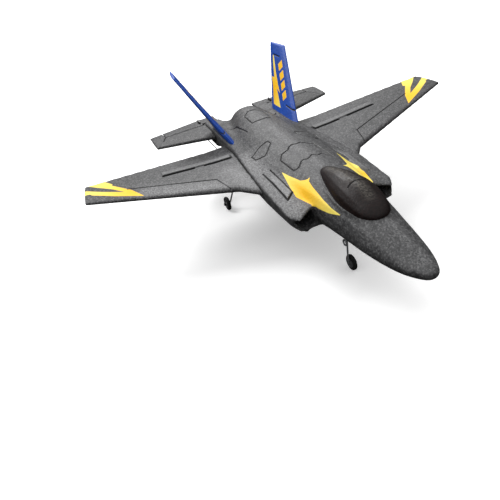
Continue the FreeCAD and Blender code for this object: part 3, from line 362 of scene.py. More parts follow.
def depth_inside(flat, points):
    """Distance to a closed outline, positive inside it and negative outside."""
    inside = np.zeros(len(flat), bool)
    for (ax, ay), (bx, by) in zip(points, points[1:] + points[:1]):
        crossed = (ay > flat[:, 1]) != (by > flat[:, 1])
        rise = by - ay if abs(by - ay) > TINY else TINY
        inside ^= crossed & (flat[:, 0] < ax + (flat[:, 1] - ay) * (bx - ax) / rise)
    return np.where(inside, 1.0, -1.0) * path_distance(flat, points, closed=True)


def mirrored(points):
    return [(-x, y) for x, y in points]


def eased(value):
    """A share from 0 to 1 with soft ends."""
    value = np.clip(value, 0, 1)
    return value * value * (3 - 2 * value)


class Features:
    """What is pressed, raised and printed on one skin, seen along one axis."""

    def __init__(self, axes=(0, 1), side=1, facing=None):
        self.axes = list(axes)
        self.turn = np.array([side, 1.0]) if 0 in axes else np.array([1.0, 1.0])
        self.facing = facing
        self.lines = []
        self.fields = []
        self.prints = []
        self.highlight_bands = []

    def line(self, points, closed=False, extra=0.0, both=False):
        """A pressed line, wider by extra on each side, on both sides of the body if asked."""
        self.lines.append((self.placed(points), closed, extra))
        if both:
            self.lines.append((mirrored(self.placed(points)), closed, extra))

    def paint_highlight(self, points, reach, amount):
        """A painted highlight: a band along a line where the skin is painted paler."""
        self.highlight_bands.append((self.placed(points), reach, amount))

    def raised(self, points, height, edge, both=False, ramp=None):
        """A raised field with soft edges, which may rise along a ramp from one y to another."""
        self.fields.append((self.placed(points), height, edge, ramp))
        if both:
            self.fields.append((mirrored(self.placed(points)), height, edge, ramp))

    def printed(self, points, deep, fade, sill=None):
        """A printed field, deepest in colour round one place and paler away from it."""
        deep = (deep[0] * self.turn[0], deep[1])
        self.prints.append((self.placed(points), deep, fade, sill))

    def print_depth(self, mesh, points, sill):
        """Distance inside a print, which may also end at a sill of (y, z) heights below it."""
        inside = depth_inside(self.flat(mesh), points)
        if sill:
            places = places_of(mesh) / MM
            along, heights = zip(*sill)
            inside = np.minimum(inside, places[:, 2] - np.interp(places[:, 1], along, heights))
        return inside

    def placed(self, points):
        return [(x * self.turn[0], y) for x, y in points]

    def flat(self, mesh):
        return places_of(mesh)[:, self.axes] / MM

    def seen(self, mesh):
        if self.facing is None:
            return np.ones(len(mesh.vertices), bool)
        return self.facing(places_of(mesh) / MM, normals_of(mesh))

    def line_distance(self, mesh):
        flat = self.flat(mesh)
        best = np.full(len(flat), FAR)
        for points, closed, extra in self.lines:
            best = np.minimum(best, path_distance(flat, points, closed) - extra)
        return np.where(self.seen(mesh), best, FAR)

    def edge_distance(self, mesh):
        flat = self.flat(mesh)
        best = np.full(len(flat), FAR)
        for points, *_ in self.fields:
            best = np.minimum(best, path_distance(flat, points, closed=True))
        for points, _, _, sill in self.prints:
            best = np.minimum(best, np.abs(self.print_depth(mesh, points, sill)))
        return np.where(self.seen(mesh), best, FAR)


def refine(piece, picked):
    """Halves the edges between picked vertices."""
    shape = bmesh.new()
    shape.from_mesh(piece.data)
    shape.verts.ensure_lookup_table()
    edges = [edge for edge in shape.edges
             if picked[edge.verts[0].index] and picked[edge.verts[1].index]]
    bmesh.ops.subdivide_edges(shape, edges=edges, cuts=1, use_grid_fill=True)
    bmesh.ops.triangulate(shape, faces=[face for face in shape.faces if len(face.verts) > 4])
    shape.to_mesh(piece.data)
    shape.free()
    piece.data.update()


def press(piece, features, cell):
    """Presses the lines into a skin, lifts its raised fields and notes both and the prints."""
    for reach in LINE_REACHES:
        refine(piece, features.line_distance(piece.data) < reach * cell + LINE_MARGIN)
    refine(piece, features.edge_distance(piece.data) < EDGE_REACH * cell)
    mesh = piece.data
    flat = features.flat(mesh)
    seen = features.seen(mesh)
    distance = features.line_distance(mesh)
    lift = np.zeros(len(flat))
    for points, height, edge, ramp in features.fields:
        rise = eased((flat[:, 1] - ramp[0]) / (ramp[1] - ramp[0])) if ramp else 1.0
        lift = np.maximum(lift, rise * height * eased(depth_inside(flat, points) / edge + 0.5))
    paint = np.full(len(flat), -FAR)
    pale = np.zeros(len(flat))
    for points, deep, fade, sill in features.prints:
        inside = features.print_depth(mesh, points, sill)
        shade = np.clip(np.linalg.norm(flat - np.array(deep), axis=1) / fade, 0, 1)
        pale = np.where(inside > paint, shade, pale)
        paint = np.maximum(paint, inside)
    paint = np.where(seen, paint, -FAR)
    lift = np.where(seen, lift, 0)
    groove = LINE_DEPTH * np.exp(-(np.maximum(distance, 0) / LINE_HALF) ** 2)
    move_to(mesh, places_of(mesh) + normals_of(mesh) * ((lift - groove) * MM)[:, None])
    # Painted highlight: how much paler each place is painted where light falls on it, noted for the
    # materials.
    painted_highlight = np.zeros(len(flat))
    for points, reach, amount in features.highlight_bands:
        painted_highlight = np.maximum(painted_highlight, amount * eased(1 - path_distance(flat, points) / reach))
    for word, values in (("line", distance), ("paint", np.clip(paint, -FAR, FAR)), ("pale", pale),
                         ("raised", lift), ("painted_highlight", np.where(seen, painted_highlight, 0))):
        note(mesh, word, values)
    smooth_shaded(mesh)


def note(mesh, word, values):
    mesh.attributes.new(word, "FLOAT", "POINT").data.foreach_set("value", values.astype(np.float32))


def top_face(places, normals):
    return normals[:, 2] > TOP_FACING


def side_face(places, normals):
    return np.abs(normals[:, 0]) > SIDE_FACING


# ---------------------------------------------------------------- materials

class Paint:
    """One procedural material, with short calls for the nodes it is made of."""

    def __init__(self, name):
        self.material = bpy.data.materials.new(name)
        self.material.use_nodes = True
        self.tree = self.material.node_tree
        self.shader = self.tree.nodes["Principled BSDF"]
        self.place = self.add("ShaderNodeTexCoord").outputs["Object"]

    def add(self, kind, **settings):
        node = self.tree.nodes.new(kind)
        for word, value in settings.items():
            setattr(node, word, value)
        return node

    def feed(self, socket, value):
        if isinstance(value, bpy.types.NodeSocket):
            self.tree.links.new(value, socket)
        else:
            socket.default_value = value

    def noise(self, size, detail=2.0, rough=0.5):
        node = self.add("ShaderNodeTexNoise")
        self.feed(node.inputs["Vector"], self.place)
        self.feed(node.inputs["Scale"], 1 / (size * MM))
        self.feed(node.inputs["Detail"], detail)
        self.feed(node.inputs["Roughness"], rough)
        return node.outputs["Fac"]

    def cells(self, size, output="Distance", feature="F1"):
        node = self.add("ShaderNodeTexVoronoi", feature=feature)
        self.feed(node.inputs["Vector"], self.place)
        self.feed(node.inputs["Scale"], 1 / (size * MM))
        return node.outputs[output]

    def attribute(self, word):
        return self.add("ShaderNodeAttribute", attribute_name=word).outputs["Fac"]

    def span(self, value, low, high, out_low=0.0, out_high=1.0, smooth=True):
        node = self.add("ShaderNodeMapRange", interpolation_type="SMOOTHSTEP" if smooth else "LINEAR")
        for socket, number in zip(list(node.inputs)[:5], (value, low, high, out_low, out_high)):
            self.feed(socket, number)
        return node.outputs["Result"]

    def sum(self, operation, first, second):
        node = self.add("ShaderNodeMath", operation=operation)
        self.feed(node.inputs[0], first)
        self.feed(node.inputs[1], second)
        return node.outputs[0]

    def mix(self, share, first, second):
        node = self.add("ShaderNodeMix", data_type="RGBA")
        self.feed(node.inputs[0], share)
        self.feed(node.inputs[6], first)
        self.feed(node.inputs[7], second)
        return node.outputs[2]

    def bump(self, height, depth, strength=1.0, under=None):
        node = self.add("ShaderNodeBump")
        self.feed(node.inputs["Height"], height)
        self.feed(node.inputs["Distance"], depth * MM)
        self.feed(node.inputs["Strength"], strength)
        if under is not None:
            self.feed(node.inputs["Normal"], under)
        return node.outputs["Normal"]

    def line_core(self):
        """How far a place lies in the dark core of a pressed line."""
        return self.span(self.attribute("line"), CORE_HALF - CORE_SOFT[0], CORE_HALF + CORE_SOFT[1], 1.0, 0.0)

    def beaded(self, tone, bead_depth, tone_depth):
        """Relief of pressed beads with a fine tone on them."""
        rim = self.cells(BEAD, "Distance", "DISTANCE_TO_EDGE")
        soft = self.bump(self.span(rim, 0.0, BEAD_RIM), bead_depth, 0.5)
        self.set(Normal=self.bump(tone, tone_depth, 0.6, soft))

    def set(self, **values):
        for word, value in values.items():
            self.feed(self.shader.inputs[word.replace("_", " ")], value)


def colour(text, strength=1.0):
    """A linear colour from six hexadecimal digits of a screen colour."""
    parts = [int(text[i:i + 2], 16) / 255 for i in (0, 2, 4)]
    linear = [part / 12.92 if part <= 0.04045 else ((part + 0.055) / 1.055) ** 2.4 for part in parts]
    return (*[strength * part for part in linear], 1.0)


def foam_paint(name, dark, middle, light, deep="FFC41C", pale="FFEA70", speckle=0.24, rough=0.5):
    """Moulded bead foam: beads pressed together, mottled, with prints and pressed lines."""
    paint = Paint(name)
    tone = paint.noise(MOTTLE, 3.0, 0.65)
    broad = paint.noise(PATCH, 3.0)
    bead = paint.cells(BEAD, "Color")
    grain = paint.cells(FLECK, "Color")
    mottle = paint.sum("ADD", paint.sum("MULTIPLY", tone, 0.6), paint.sum("MULTIPLY", bead, 0.22))
    mottle = paint.sum("ADD", mottle, paint.sum("MULTIPLY", broad, 0.18))
    ground = paint.mix(paint.span(mottle, 0.34, 0.66), colour(dark), colour(middle))
    spark = paint.span(paint.sum("ADD", grain, paint.sum("MULTIPLY", tone, 0.8)), 0.85, 1.35)
    # Painted highlight: raised fields are painted paler, as where their tops catch the light.
    raised_highlight = paint.span(paint.attribute("raised"), 0.1, 0.7, 0.0, 0.28)
    # Painted highlight: the highlight bands are painted paler in streaks that follow the mottling.
    highlight_patches = paint.sum("MULTIPLY", paint.attribute("painted_highlight"), paint.span(tone, 0.35, 0.62, 0.15, 1.0))
    share = paint.sum("ADD", paint.sum("MULTIPLY", spark, speckle), raised_highlight)
    share = paint.sum("MINIMUM", paint.sum("ADD", share, paint.sum("MULTIPLY", highlight_patches, 0.6)), 1.0)
    ground = paint.mix(share, ground, colour(light))
    edge = paint.sum("ADD", paint.attribute("paint"), paint.sum("MULTIPLY", tone, 0.06))
    printed = paint.mix(paint.span(paint.attribute("pale"), 0.0, 1.0), colour(deep), colour(pale))
    printed = paint.mix(paint.span(tone, 0.35, 0.7, 0.0, 0.10), printed, colour(ACCENT))
    skin = paint.mix(paint.span(edge, -0.03, 0.09), ground, printed)
    skin = paint.mix(paint.line_core(), skin, colour(LINE_INK))
    paint.set(Base_Color=skin, Roughness=paint.span(tone, 0.2, 0.8, rough - 0.08, rough + 0.12))
    paint.beaded(tone, 0.10, 0.14)
    paint.shader.inputs["Specular IOR Level"].default_value = 0.3
    return paint.material


def canopy_paint():
    """Dark brown canopy skin with the beads showing through a glossier print."""
    paint = Paint("canopy_skin")
    tone = paint.noise(1.3, 3.0, 0.6)
    streak = paint.noise(5.0, 4.0, 0.7)
    ground = paint.mix(paint.span(tone, 0.3, 0.7), colour("0A0404"), colour("1A0C0A"))
    ground = paint.mix(paint.span(streak, 0.52, 0.75, 0.0, 0.35), ground, colour("261814"))
    # Painted highlight: pale grey streaks painted along the crest, where light glints on the canopy.
    crest_highlight = paint.sum("MULTIPLY", paint.attribute("painted_highlight"), paint.span(tone, 0.38, 0.66, 0.1, 0.8))
    ground = paint.mix(crest_highlight, ground, colour("5A5650"))
    paint.set(Base_Color=paint.mix(paint.line_core(), ground, colour("050404")),
              Roughness=paint.span(streak, 0.3, 0.7, 0.4, 0.6))
    paint.shader.inputs["Specular IOR Level"].default_value = 0.26
    paint.beaded(tone, 0.08, 0.12)
    return paint.material


def plain_paint(name, dark, light, rough, grain=0.35, depth=0.03, metal=0.0, streak=6.0):
    """A moulded or turned part: fine grain, soft patches and slight scuff marks."""
    paint = Paint(name)
    fine = paint.noise(grain, 3.0, 0.6)
    patch = paint.noise(streak, 4.0, 0.65)
    share = paint.sum("ADD", paint.sum("MULTIPLY", fine, 0.4), paint.sum("MULTIPLY", patch, 0.6))
    paint.set(Base_Color=paint.mix(paint.span(share, 0.35, 0.65), colour(dark), colour(light)),
              Roughness=paint.span(patch, 0.3, 0.7, rough - 0.07, rough + 0.09),
              Normal=paint.bump(fine, depth, 0.6))
    paint.shader.inputs["Metallic"].default_value = metal
    return paint.material


def woven_paint(name, dark, light, pitch, rough):
    """Rods and wraps with a fine woven or drawn line pattern."""
    paint = Paint(name)
    waves = []
    for direction in ("X", "Y"):
        wave = paint.add("ShaderNodeTexWave", bands_direction=direction)
        paint.feed(wave.inputs["Vector"], paint.place)
        paint.feed(wave.inputs["Scale"], 1 / (pitch * MM) / WAVE_TURN)
        paint.feed(wave.inputs["Distortion"], 1.2)
        waves.append(wave.outputs["Fac"])
    cross = paint.sum("MULTIPLY", *waves)
    paint.set(Base_Color=paint.mix(cross, colour(dark), colour(light)),
              Roughness=paint.span(cross, 0.0, 1.0, rough, rough + 0.15),
              Normal=paint.bump(cross, 0.04, 0.6))
    return paint.material


SLOT_PAINTS = {
    "foam_grey": foam_paint("foam_skin", "333334", "4A4A4B", "8A8A8B", speckle=0.36),
    "fin_blue": foam_paint("fin_skin", "163F96", "1C4CAA", "3568BE", speckle=0.15, rough=0.42),
    "canopy_dark": canopy_paint(),
    "black_plastic": plain_paint("moulded_black", "0B0B0C", "1A1A1C", 0.42),
    "servo_case": plain_paint("servo_shell", "14161A", "23272D", 0.35, depth=0.02),
    "black_rubber": plain_paint("tyre_rubber", "080808", "161616", 0.75, grain=0.5, depth=0.06),
    "steel_wire": plain_paint("spring_steel", "8E9092", "C0C2C4", 0.4, grain=0.2, depth=0.01, metal=0.45),
    "motor_steel": plain_paint("can_steel", "8E8E90", "BEBEC0", 0.35, grain=0.25, depth=0.01, metal=0.6),
    "cell_wrap": plain_paint("cell_wrap", "1A3F88", "2A5AB4", 0.3, depth=0.015),
    "white_plastic": plain_paint("moulded_white", "C9C8C2", "E4E3DE", 0.4),
    "lead_red": plain_paint("silicone_red", "8E120E", "BC1E18", 0.5),
    "board_green": plain_paint("board_mask", "0B3A22", "14573A", 0.35),
    "tape_foam": plain_paint("pad_foam", "D2D2CC", "ECECE8", 0.9, grain=0.5, depth=0.08),
    "carbon_rod": woven_paint("carbon_weave", "0A0A0B", "232325", 0.9, 0.3),
}
HUB_PAINT = plain_paint("hub_grey", "56585A", "8A8C8E", 0.4)


# ---------------------------------------------------------------- foam pieces

def fuselage():
    def deck(places, normals):
        return (normals[:, 2] > DECK_FACING) & (places[:, 2] > DECK_LEVEL)

    def hollow_zone(places, normals):
        across = eased((HOLLOW_ACROSS[0] - np.abs(places[:, 0])) / HOLLOW_ACROSS[1])
        ahead = eased((places[:, 1] - HOLLOW_AHEAD[0]) / HOLLOW_AHEAD[1])
        along = ahead * eased((HOLLOW_BEHIND[0] - places[:, 1]) / HOLLOW_BEHIND[1])
        upwards = eased((places[:, 2] - DECK_LEVEL) / HOLLOW_RISE)
        return across * along * upwards * eased(normals[:, 2] / HOLLOW_TURN)

    def seat_zone(places, normals):
        across = eased((SEAT_ACROSS[0] - np.abs(places[:, 0])) / SEAT_ACROSS[1])
        return across * (places[:, 2] > SEAT_LEVEL) * (np.abs(places[:, 1] - SEAT_MIDDLE) < SEAT_REACH)

    piece = foam_skin("foam_fuselage", FUSELAGE_CELL, "fuselage_foam", "canopy")
    relax(piece, *BODY_RELAX)
    seat_canopy(piece.data)
    relax(piece, *SEAT_RELAX, seat_zone)
    relax(piece, *HOLLOW_RELAX, hollow_zone)
    features = Features(facing=deck)
    features.line(FAN_DOOR, closed=True)
    features.line(SIDE_PANEL, closed=True, both=True)
    features.line(HUMP_PANEL, closed=True)
    features.line(SIDE_SEAM, both=True)
    features.line(mirrored(BLISTER[1:]), extra=BLISTER_SHADES[0])
    features.line(BLISTER[1:3], extra=BLISTER_SHADES[1])
    features.line(mirrored(BLISTER[:1] + BLISTER[3:]))
    features.line([BLISTER[0], BLISTER_SEAM_END])
    features.raised(BLISTER, *BLISTER_LIFT, both=True, ramp=BLISTER_RAMP)
    features.printed(mirrored(FLASH), FLASH_DEEP, FLASH_FADE, sill=FLASH_SILL)
    features.printed(FLASH_PORT, FLASH_PORT_DEEP, FLASH_PORT_FADE, sill=FLASH_SILL)
    # Painted highlights on the decks, the spine and the nose crest, strongest on the starboard deck, where
    # the key light falls.
    features.paint_highlight(*DECK_HIGHLIGHT, SIDE_HIGHLIGHT["left"])
    features.paint_highlight(mirrored(DECK_HIGHLIGHT[0]), DECK_HIGHLIGHT[1], SIDE_HIGHLIGHT["right"])
    features.paint_highlight(*SPINE_HIGHLIGHT)
    features.paint_highlight(*NOSE_HIGHLIGHT)
    press(piece, features, FUSELAGE_CELL)
    finish_piece(piece, SLOT_PAINTS["foam_grey"], "foam_grey", "airframe", "fuselage_foam")


def seat_canopy(mesh):
    """Brings the foam under the canopy down to the seat that the shell stands on."""
    places = places_of(mesh)
    along, heights = zip(*SEAT)
    seat = np.interp(places[:, 1] / MM, along, heights) * MM
    low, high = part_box("canopy")
    under = ((np.abs(places[:, 0]) < high.x + MM) & (places[:, 1] > low.y - MM)
             & (places[:, 1] < high.y + MM) & (places[:, 2] > seat))
    places[under, 2] = seat[under]
    move_to(mesh, places)


def wing(word, side):
    piece = foam_skin(f"foam_wing_{word}", WING_CELL, f"wing_{word}")
    relax(piece, *PANEL_RELAX)
    features = Features(side=side, facing=top_face)
    features.line(WING_SEAM)
    for shade in STRIP_SHADES:
        features.line(shade, extra=STRIP_SHADE)
    # Painted highlights along the leading edge and at the root, strongest on the starboard wing, where the
    # key light falls.
    features.paint_highlight(*EDGE_HIGHLIGHT, SIDE_HIGHLIGHT[word])
    features.paint_highlight(*ROOT_HIGHLIGHT, SIDE_HIGHLIGHT[word])
    features.raised(STRIP, *STRIP_LIFT)
    features.printed(TIP_BLADE, TIP_DEEP, TIP_FADE)
    features.printed(TIP_BRANCH, TIP_DEEP, TIP_FADE)
    press(piece, features, WING_CELL)
    finish_piece(piece, SLOT_PAINTS["foam_grey"], "foam_grey", "airframe", f"wing_{word}")


def tailplane(word, side):
    for part, body in ((f"stab_{word}", "airframe"), (f"elevator_{word}", f"elevator_{word}")):
        piece = foam_skin(f"foam_{part}", TAIL_CELL, part)
        relax(piece, *TAIL_RELAX)
        if body != "airframe":
            clear_hinge(piece.data, f"hinge_block_{word}")
        features = Features(side=side, facing=top_face)
        if body == "airframe":
            features.line(STAB_SEAM)
        press(piece, features, TAIL_CELL)
        finish_piece(piece, SLOT_PAINTS["foam_grey"], "foam_grey", body, part)


def clear_hinge(mesh, block):
    """Moves the elevator's foam back from the fixed hinge block, so that it swings freely."""
    places = places_of(mesh)
    low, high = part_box(block)
    near = ((places[:, 0] > low.x - HINGE_GAP) & (places[:, 0] < high.x + HINGE_GAP)
            & (places[:, 1] < high.y + HINGE_GAP))
    places[near, 1] = high.y + HINGE_GAP
    move_to(mesh, places)


def fin(word):
    piece = foam_skin(f"foam_fin_{word}", TAIL_CELL, f"fin_{word}")
    relax(piece, *PANEL_RELAX)
    features = Features(axes=(1, 2), facing=side_face)
    features.printed(BOLT, BOLT_DEEP, BOLT_FADE)
    for index in range(BAR_COUNT):
        corner = (BAR_FIRST[0] + index * BAR_STEP[0], BAR_FIRST[1] + index * BAR_STEP[1])
        features.printed(slanted_bar(corner), corner, BAR_FADE)
    for seam in FIN_SEAMS:
        features.line(seam)
    press(piece, features, TAIL_CELL)
    finish_piece(piece, SLOT_PAINTS["fin_blue"], "fin_blue", "airframe", f"fin_{word}")


def slanted_bar(corner):
    """A four-sided bar, standing in for the lettering on the fin."""
    y, z = corner
    return [(y, z), (y + BAR_LENGTH[0], z + BAR_LENGTH[1]),
            (y + BAR_LENGTH[0] + BAR_WIDTH[0], z + BAR_LENGTH[1] + BAR_WIDTH[1]),
            (y + BAR_WIDTH[0], z + BAR_WIDTH[1])]


def canopy():
    piece = foam_skin("canopy_shell", CANOPY_CELL, "canopy")
    relax(piece, *CANOPY_RELAX)
    places = places_of(piece.data)
    along, shares = zip(*FOOT_SHARE)
    places[:, 0] *= np.interp(places[:, 1] / MM, along, shares)
    move_to(piece.data, places)
    features = Features(facing=top_face)
    features.line(CANOPY_ARC)
    # Painted highlight along the canopy's crest.
    features.paint_highlight(*CANOPY_HIGHLIGHT)
    press(piece, features, CANOPY_CELL)
    finish_piece(piece, SLOT_PAINTS["canopy_dark"], "canopy_dark", "airframe", "canopy")


# ---------------------------------------------------------------- fittings

def node_slot(node):
    return nodes[node].material_slots[0].material.name.split(".")[0]


def softened(node, body, width=FITTING_EDGE):
    """A fitting with the CAD node's own shape and small rounded edges."""
    mesh = welded(f"fitting_{node}", node)
    shape = bmesh.new()
    shape.from_mesh(mesh)
    bmesh.ops.dissolve_limit(shape, angle_limit=math.radians(FLAT_ANGLE), verts=shape.verts,
                              edges=shape.edges)
    shape.to_mesh(mesh)
    shape.free()
    piece = object_of(f"fitting_{node}", mesh)
    bevel = piece.modifiers.new("bevel", "BEVEL")
    bevel.width = width * MM
    bevel.segments = BEVEL_SEGMENTS
    bevel.angle_limit = math.radians(BEVEL_ANGLE)
    settle(piece)
    smooth_shaded(piece.data, SMOOTH_ANGLE)
    slot = node_slot(node)
    return finish_piece(piece, SLOT_PAINTS[slot], slot, body, node)


def ring(shape, centre, axis, profile, count):
    """Adds a turned ring to a mesh: a closed profile of (radius, offset) spun round an axis."""
    axis = Vector(axis).normalized()
    across = axis.orthogonal().normalized()
    other = axis.cross(across)
    rows = []
    for index in range(count):
        turn = 2 * math.pi * index / count
        spoke = math.cos(turn) * across + math.sin(turn) * other
        rows.append([shape.verts.new(centre + (radius * spoke + offset * axis) * MM)
                     for radius, offset in profile])
    for index in range(count):
        band(shape, rows[index], rows[(index + 1) % count])


def corners_of(shape, places):
    return [shape.verts.new(place) for place in places]


def band(shape, low, high):
    """Closes the side between two equal rings of corners."""
    count = len(low)
    for index in range(count):
        after = (index + 1) % count
        shape.faces.new((low[index], low[after], high[after], high[index]))


def bar(shape, places_low, places_high):
    """Adds a closed bar between two rings of places."""
    low = corners_of(shape, places_low)
    high = corners_of(shape, places_high)
    band(shape, low, high)
    shape.faces.new(low[::-1])
    shape.faces.new(high)


def from_shape(name, shape, angle=SMOOTH_ANGLE):
    bmesh.ops.recalc_face_normals(shape, faces=shape.faces)
    mesh = bpy.data.meshes.new(name)
    shape.to_mesh(mesh)
    shape.free()
    smooth_shaded(mesh, angle)
    return object_of(name, mesh)


def rounded_profile(inner, outer, half, round_by, steps=5):
    """A closed ring section with rounded outer shoulders."""
    profile = [(inner, -half)]
    for centre_offset, start in ((-half + round_by, -90), (half - round_by, 0)):
        for step in range(steps + 1):
            turn = math.radians(start + 90 * step / steps)
            profile.append((outer - round_by + round_by * math.cos(turn),
                            centre_offset + round_by * math.sin(turn)))
    profile.append((inner, half))
    return profile


def wheel(tyre, hub, body):
    """A slim tyre with a bead on each side wall, on a spoked plastic hub."""
    low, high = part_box(tyre)
    centre = (low + high) / 2
    outer = (high.z - low.z) / 2 / MM
    half = (high.x - low.x) / 2 / MM
    hub_low, hub_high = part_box(hub)
    hub_outer = (hub_high.z - hub_low.z) / 2 / MM
    hub_half = (hub_high.x - hub_low.x) / 2 / MM
    shape = bmesh.new()
    section = rounded_profile(hub_outer - TYRE_SEAT, outer, half, TYRE_SHOULDER)
    ring(shape, centre, ACROSS, section, TYRE_SIDES)
    for place in (-1, 1):
        bead = [(hub_outer + out, place * (half + lift)) for out, lift in BEAD_STATIONS]
        ring(shape, centre, ACROSS, bead, TYRE_SIDES)
    piece = from_shape(f"rubber_{tyre}", shape)
    finish_piece(piece, SLOT_PAINTS["black_rubber"], "black_rubber", body, tyre)
    shape = bmesh.new()
    bore, boss, round_by, steps = BOSS
    ring(shape, centre, ACROSS, rounded_profile(bore, boss, hub_half, round_by, steps), BOSS_SIDES)
    inside, outside = (hub_half * share for share in RIM_SHARES)
    rim = [(hub_outer - RIM_DEPTH, -inside), (hub_outer, -outside),
           (hub_outer, outside), (hub_outer - RIM_DEPTH, inside)]
    ring(shape, centre, ACROSS, rim, RIM_SIDES)
    for index in range(SPOKE_COUNT):
        turn = 2 * math.pi * index / SPOKE_COUNT
        spoke = Vector((0, math.cos(turn), math.sin(turn)))
        side = Vector((0, -math.sin(turn), math.cos(turn)))
        rows = []
        for radius, breadth in (SPOKE_INNER, (hub_outer - SPOKE_OUTER[0], SPOKE_OUTER[1])):
            rows.append([centre + (radius * spoke + across * breadth * side) * MM
                         + Vector((lift * hub_half * SPOKE_HALF_SHARE * MM, 0, 0))
                         for across, lift in ((-1, -1), (1, -1), (1, 1), (-1, 1))])
        bar(shape, *rows)
    piece = from_shape(f"spoked_{hub}", shape)
    finish_piece(piece, HUB_PAINT, node_slot(hub), body, hub)


def wires():
    """Gear wires and pushrods, whose edges are finer than those of the other fittings."""
    softened("nose_gear_wire", "airframe", WIRE_EDGE)
    for word, _ in SIDES:
        softened(f"main_gear_wire_{word}", "airframe", WIRE_EDGE)
        softened(f"pushrod_{word}", f"pushrod_{word}", PUSHROD_EDGE)


def propeller(word, side):
    """Two twisted blades of thin cambered section on a domed hub."""
    node = f"propeller_{word}"
    low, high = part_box(node)
    centre = (low + high) / 2
    radius = (high.x - low.x) / 2
    depth = (high.y - low.y) / 2 / MM
    shape = bmesh.new()
    for reach in (1, -1):
        rows = []
        for share, chord, pitch in BLADE:
            turn = math.radians(pitch) * reach * side
            row = []
            for step in range(BLADE_STEPS):
                around = 2 * math.pi * step / BLADE_STEPS
                across = chord * radius * 0.5 * math.cos(around)
                thick = chord * radius * 0.5 * BLADE_THICK * math.sin(around)
                camber = BLADE_CAMBER * radius * (1 - math.cos(around) ** 2)
                y = across * math.sin(turn) + (thick + camber) * math.cos(turn)
                z = across * math.cos(turn) - (thick + camber) * math.sin(turn)
                row.append(centre + Vector((reach * share * radius, y, z)))
            rows.append(row)
        for near, following in zip(rows, rows[1:]):
            band(shape, corners_of(shape, near), corners_of(shape, following))
        for end in (rows[0], rows[-1]):
            shape.faces.new(corners_of(shape, end))
    inner, outer, round_by, steps = SPINNER
    ring(shape, centre, (0, 1, 0), rounded_profile(inner, outer, depth, round_by, steps), SPINNER_SIDES)
    bmesh.ops.remove_doubles(shape, verts=shape.verts, dist=WELD)
    piece = from_shape(f"airscrew_{word}", shape, BLADE_ANGLE)
    slot = node_slot(node)
    finish_piece(piece, SLOT_PAINTS[slot], slot, f"propeller_{word}", node)


def body_names():
    """Which body each CAD node rides on."""
    return {node: body for body, members in frame["record"]["behaviour"]["bodies"].items()
            for node in members}


def fittings():
    """Every CAD node that no piece stands for yet, with its edges softened."""
    bodies = body_names()
    for node in sorted(nodes):
        if not nodes[node].hide_render:
            softened(node, bodies[node])


# ---------------------------------------------------------------- stage

def add_camera():
    back = Vector((math.sin(CAMERA_AZIMUTH) * math.cos(CAMERA_ELEVATION),
                   -math.cos(CAMERA_AZIMUTH) * math.cos(CAMERA_ELEVATION),
                   math.sin(CAMERA_ELEVATION)))
    level = Vector((math.cos(CAMERA_AZIMUTH), math.sin(CAMERA_AZIMUTH), 0))
    upright = back.cross(level)
    right = math.cos(CAMERA_ROLL) * level + math.sin(CAMERA_ROLL) * upright
    up = -math.sin(CAMERA_ROLL) * level + math.cos(CAMERA_ROLL) * upright
    data = bpy.data.cameras.new("photo_camera")
    data.lens = CAMERA_LENS
    data.sensor_width = CAMERA_SENSOR
    data.clip_start = CAMERA_CLIP
    camera = bpy.data.objects.new("photo_camera", data)
    camera.matrix_world = Matrix(((right.x, up.x, back.x, CAMERA_PLACE.x),
                                  (right.y, up.y, back.y, CAMERA_PLACE.y),
                                  (right.z, up.z, back.z, CAMERA_PLACE.z),
                                  (0, 0, 0, 1)))
    bpy.context.scene.collection.objects.link(camera)
    bpy.context.scene.camera = camera


def soft_light(name, place, target, size, power):
    data = bpy.data.lights.new(name, "AREA")
    data.shape = "DISK"
    data.size = size
    data.energy = power
    light = bpy.data.objects.new(name, data)
    light.location = place
    light.rotation_euler = (Vector(target) - Vector(place)).to_track_quat("-Z", "Y").to_euler()
    bpy.context.scene.collection.objects.link(light)


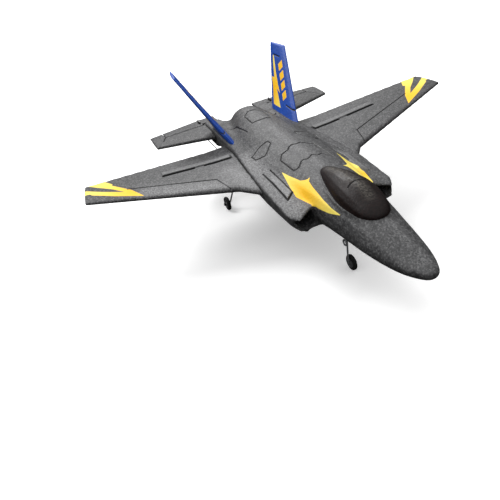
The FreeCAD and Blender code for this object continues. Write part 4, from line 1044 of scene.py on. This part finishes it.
def stage():
    """A plain pale floor, a large soft key from the starboard rear and a sheen from the port rear."""
    mesh = bpy.data.meshes.new("floor")
    corners = [(-FLOOR_HALF, -FLOOR_HALF, 0), (FLOOR_HALF, -FLOOR_HALF, 0),
               (FLOOR_HALF, FLOOR_HALF, 0), (-FLOOR_HALF, FLOOR_HALF, 0)]
    mesh.from_pydata(corners, [], [(0, 1, 2, 3)])
    floor = object_of("floor", mesh)
    paint = Paint("floor_white")
    paint.set(Base_Color=paint.mix(paint.noise(FLOOR_GRAIN), colour("F4F4F4"), colour("F8F8F8")))
    paint.shader.inputs["Roughness"].default_value = 0.9
    paint.shader.inputs["Emission Color"].default_value = (1, 1, 1, 1)
    paint.shader.inputs["Emission Strength"].default_value = FLOOR_GLOW
    mesh.materials.append(paint.material)
    floor.visible_diffuse = False
    floor.visible_glossy = False
    for name, place, size, power in LIGHTS:
        soft_light(name, place, LIGHT_TARGET, size, power)
    studio_world()
    bpy.context.scene.view_settings.view_transform = "Standard"


def studio_world():
    """Soft light that comes mostly from above, like a large overhead tent, on a white ground."""
    world = bpy.context.scene.world or bpy.data.worlds.new("studio")
    bpy.context.scene.world = world
    world.use_nodes = True
    tree = world.node_tree
    place = tree.nodes.new("ShaderNodeTexCoord")
    parts = tree.nodes.new("ShaderNodeSeparateXYZ")
    height = tree.nodes.new("ShaderNodeMapRange")
    height.interpolation_type = "SMOOTHSTEP"
    for word, value in TENT.items():
        height.inputs[word].default_value = value
    direct = tree.nodes.new("ShaderNodeLightPath")
    plain = tree.nodes.new("ShaderNodeMath")
    plain.operation = "MAXIMUM"
    tree.links.new(place.outputs["Generated"], parts.inputs[0])
    tree.links.new(parts.outputs["Z"], height.inputs["Value"])
    tree.links.new(height.outputs["Result"], plain.inputs[0])
    tree.links.new(direct.outputs["Is Camera Ray"], plain.inputs[1])
    tree.links.new(plain.outputs[0], tree.nodes["Background"].inputs["Strength"])
    tree.nodes["Background"].inputs["Color"].default_value = (1, 1, 1, 1)


def build():
    fuselage()
    canopy()
    for word, side in SIDES:
        wing(word, side)
        tailplane(word, side)
        fin(word)
        wheel(f"main_tyre_{word}", f"main_hub_{word}", f"main_wheel_{word}")
        propeller(word, side)
    wheel("nose_tyre", "nose_hub", "nose_wheel")
    wires()
    fittings()


build()
add_camera()
stage()
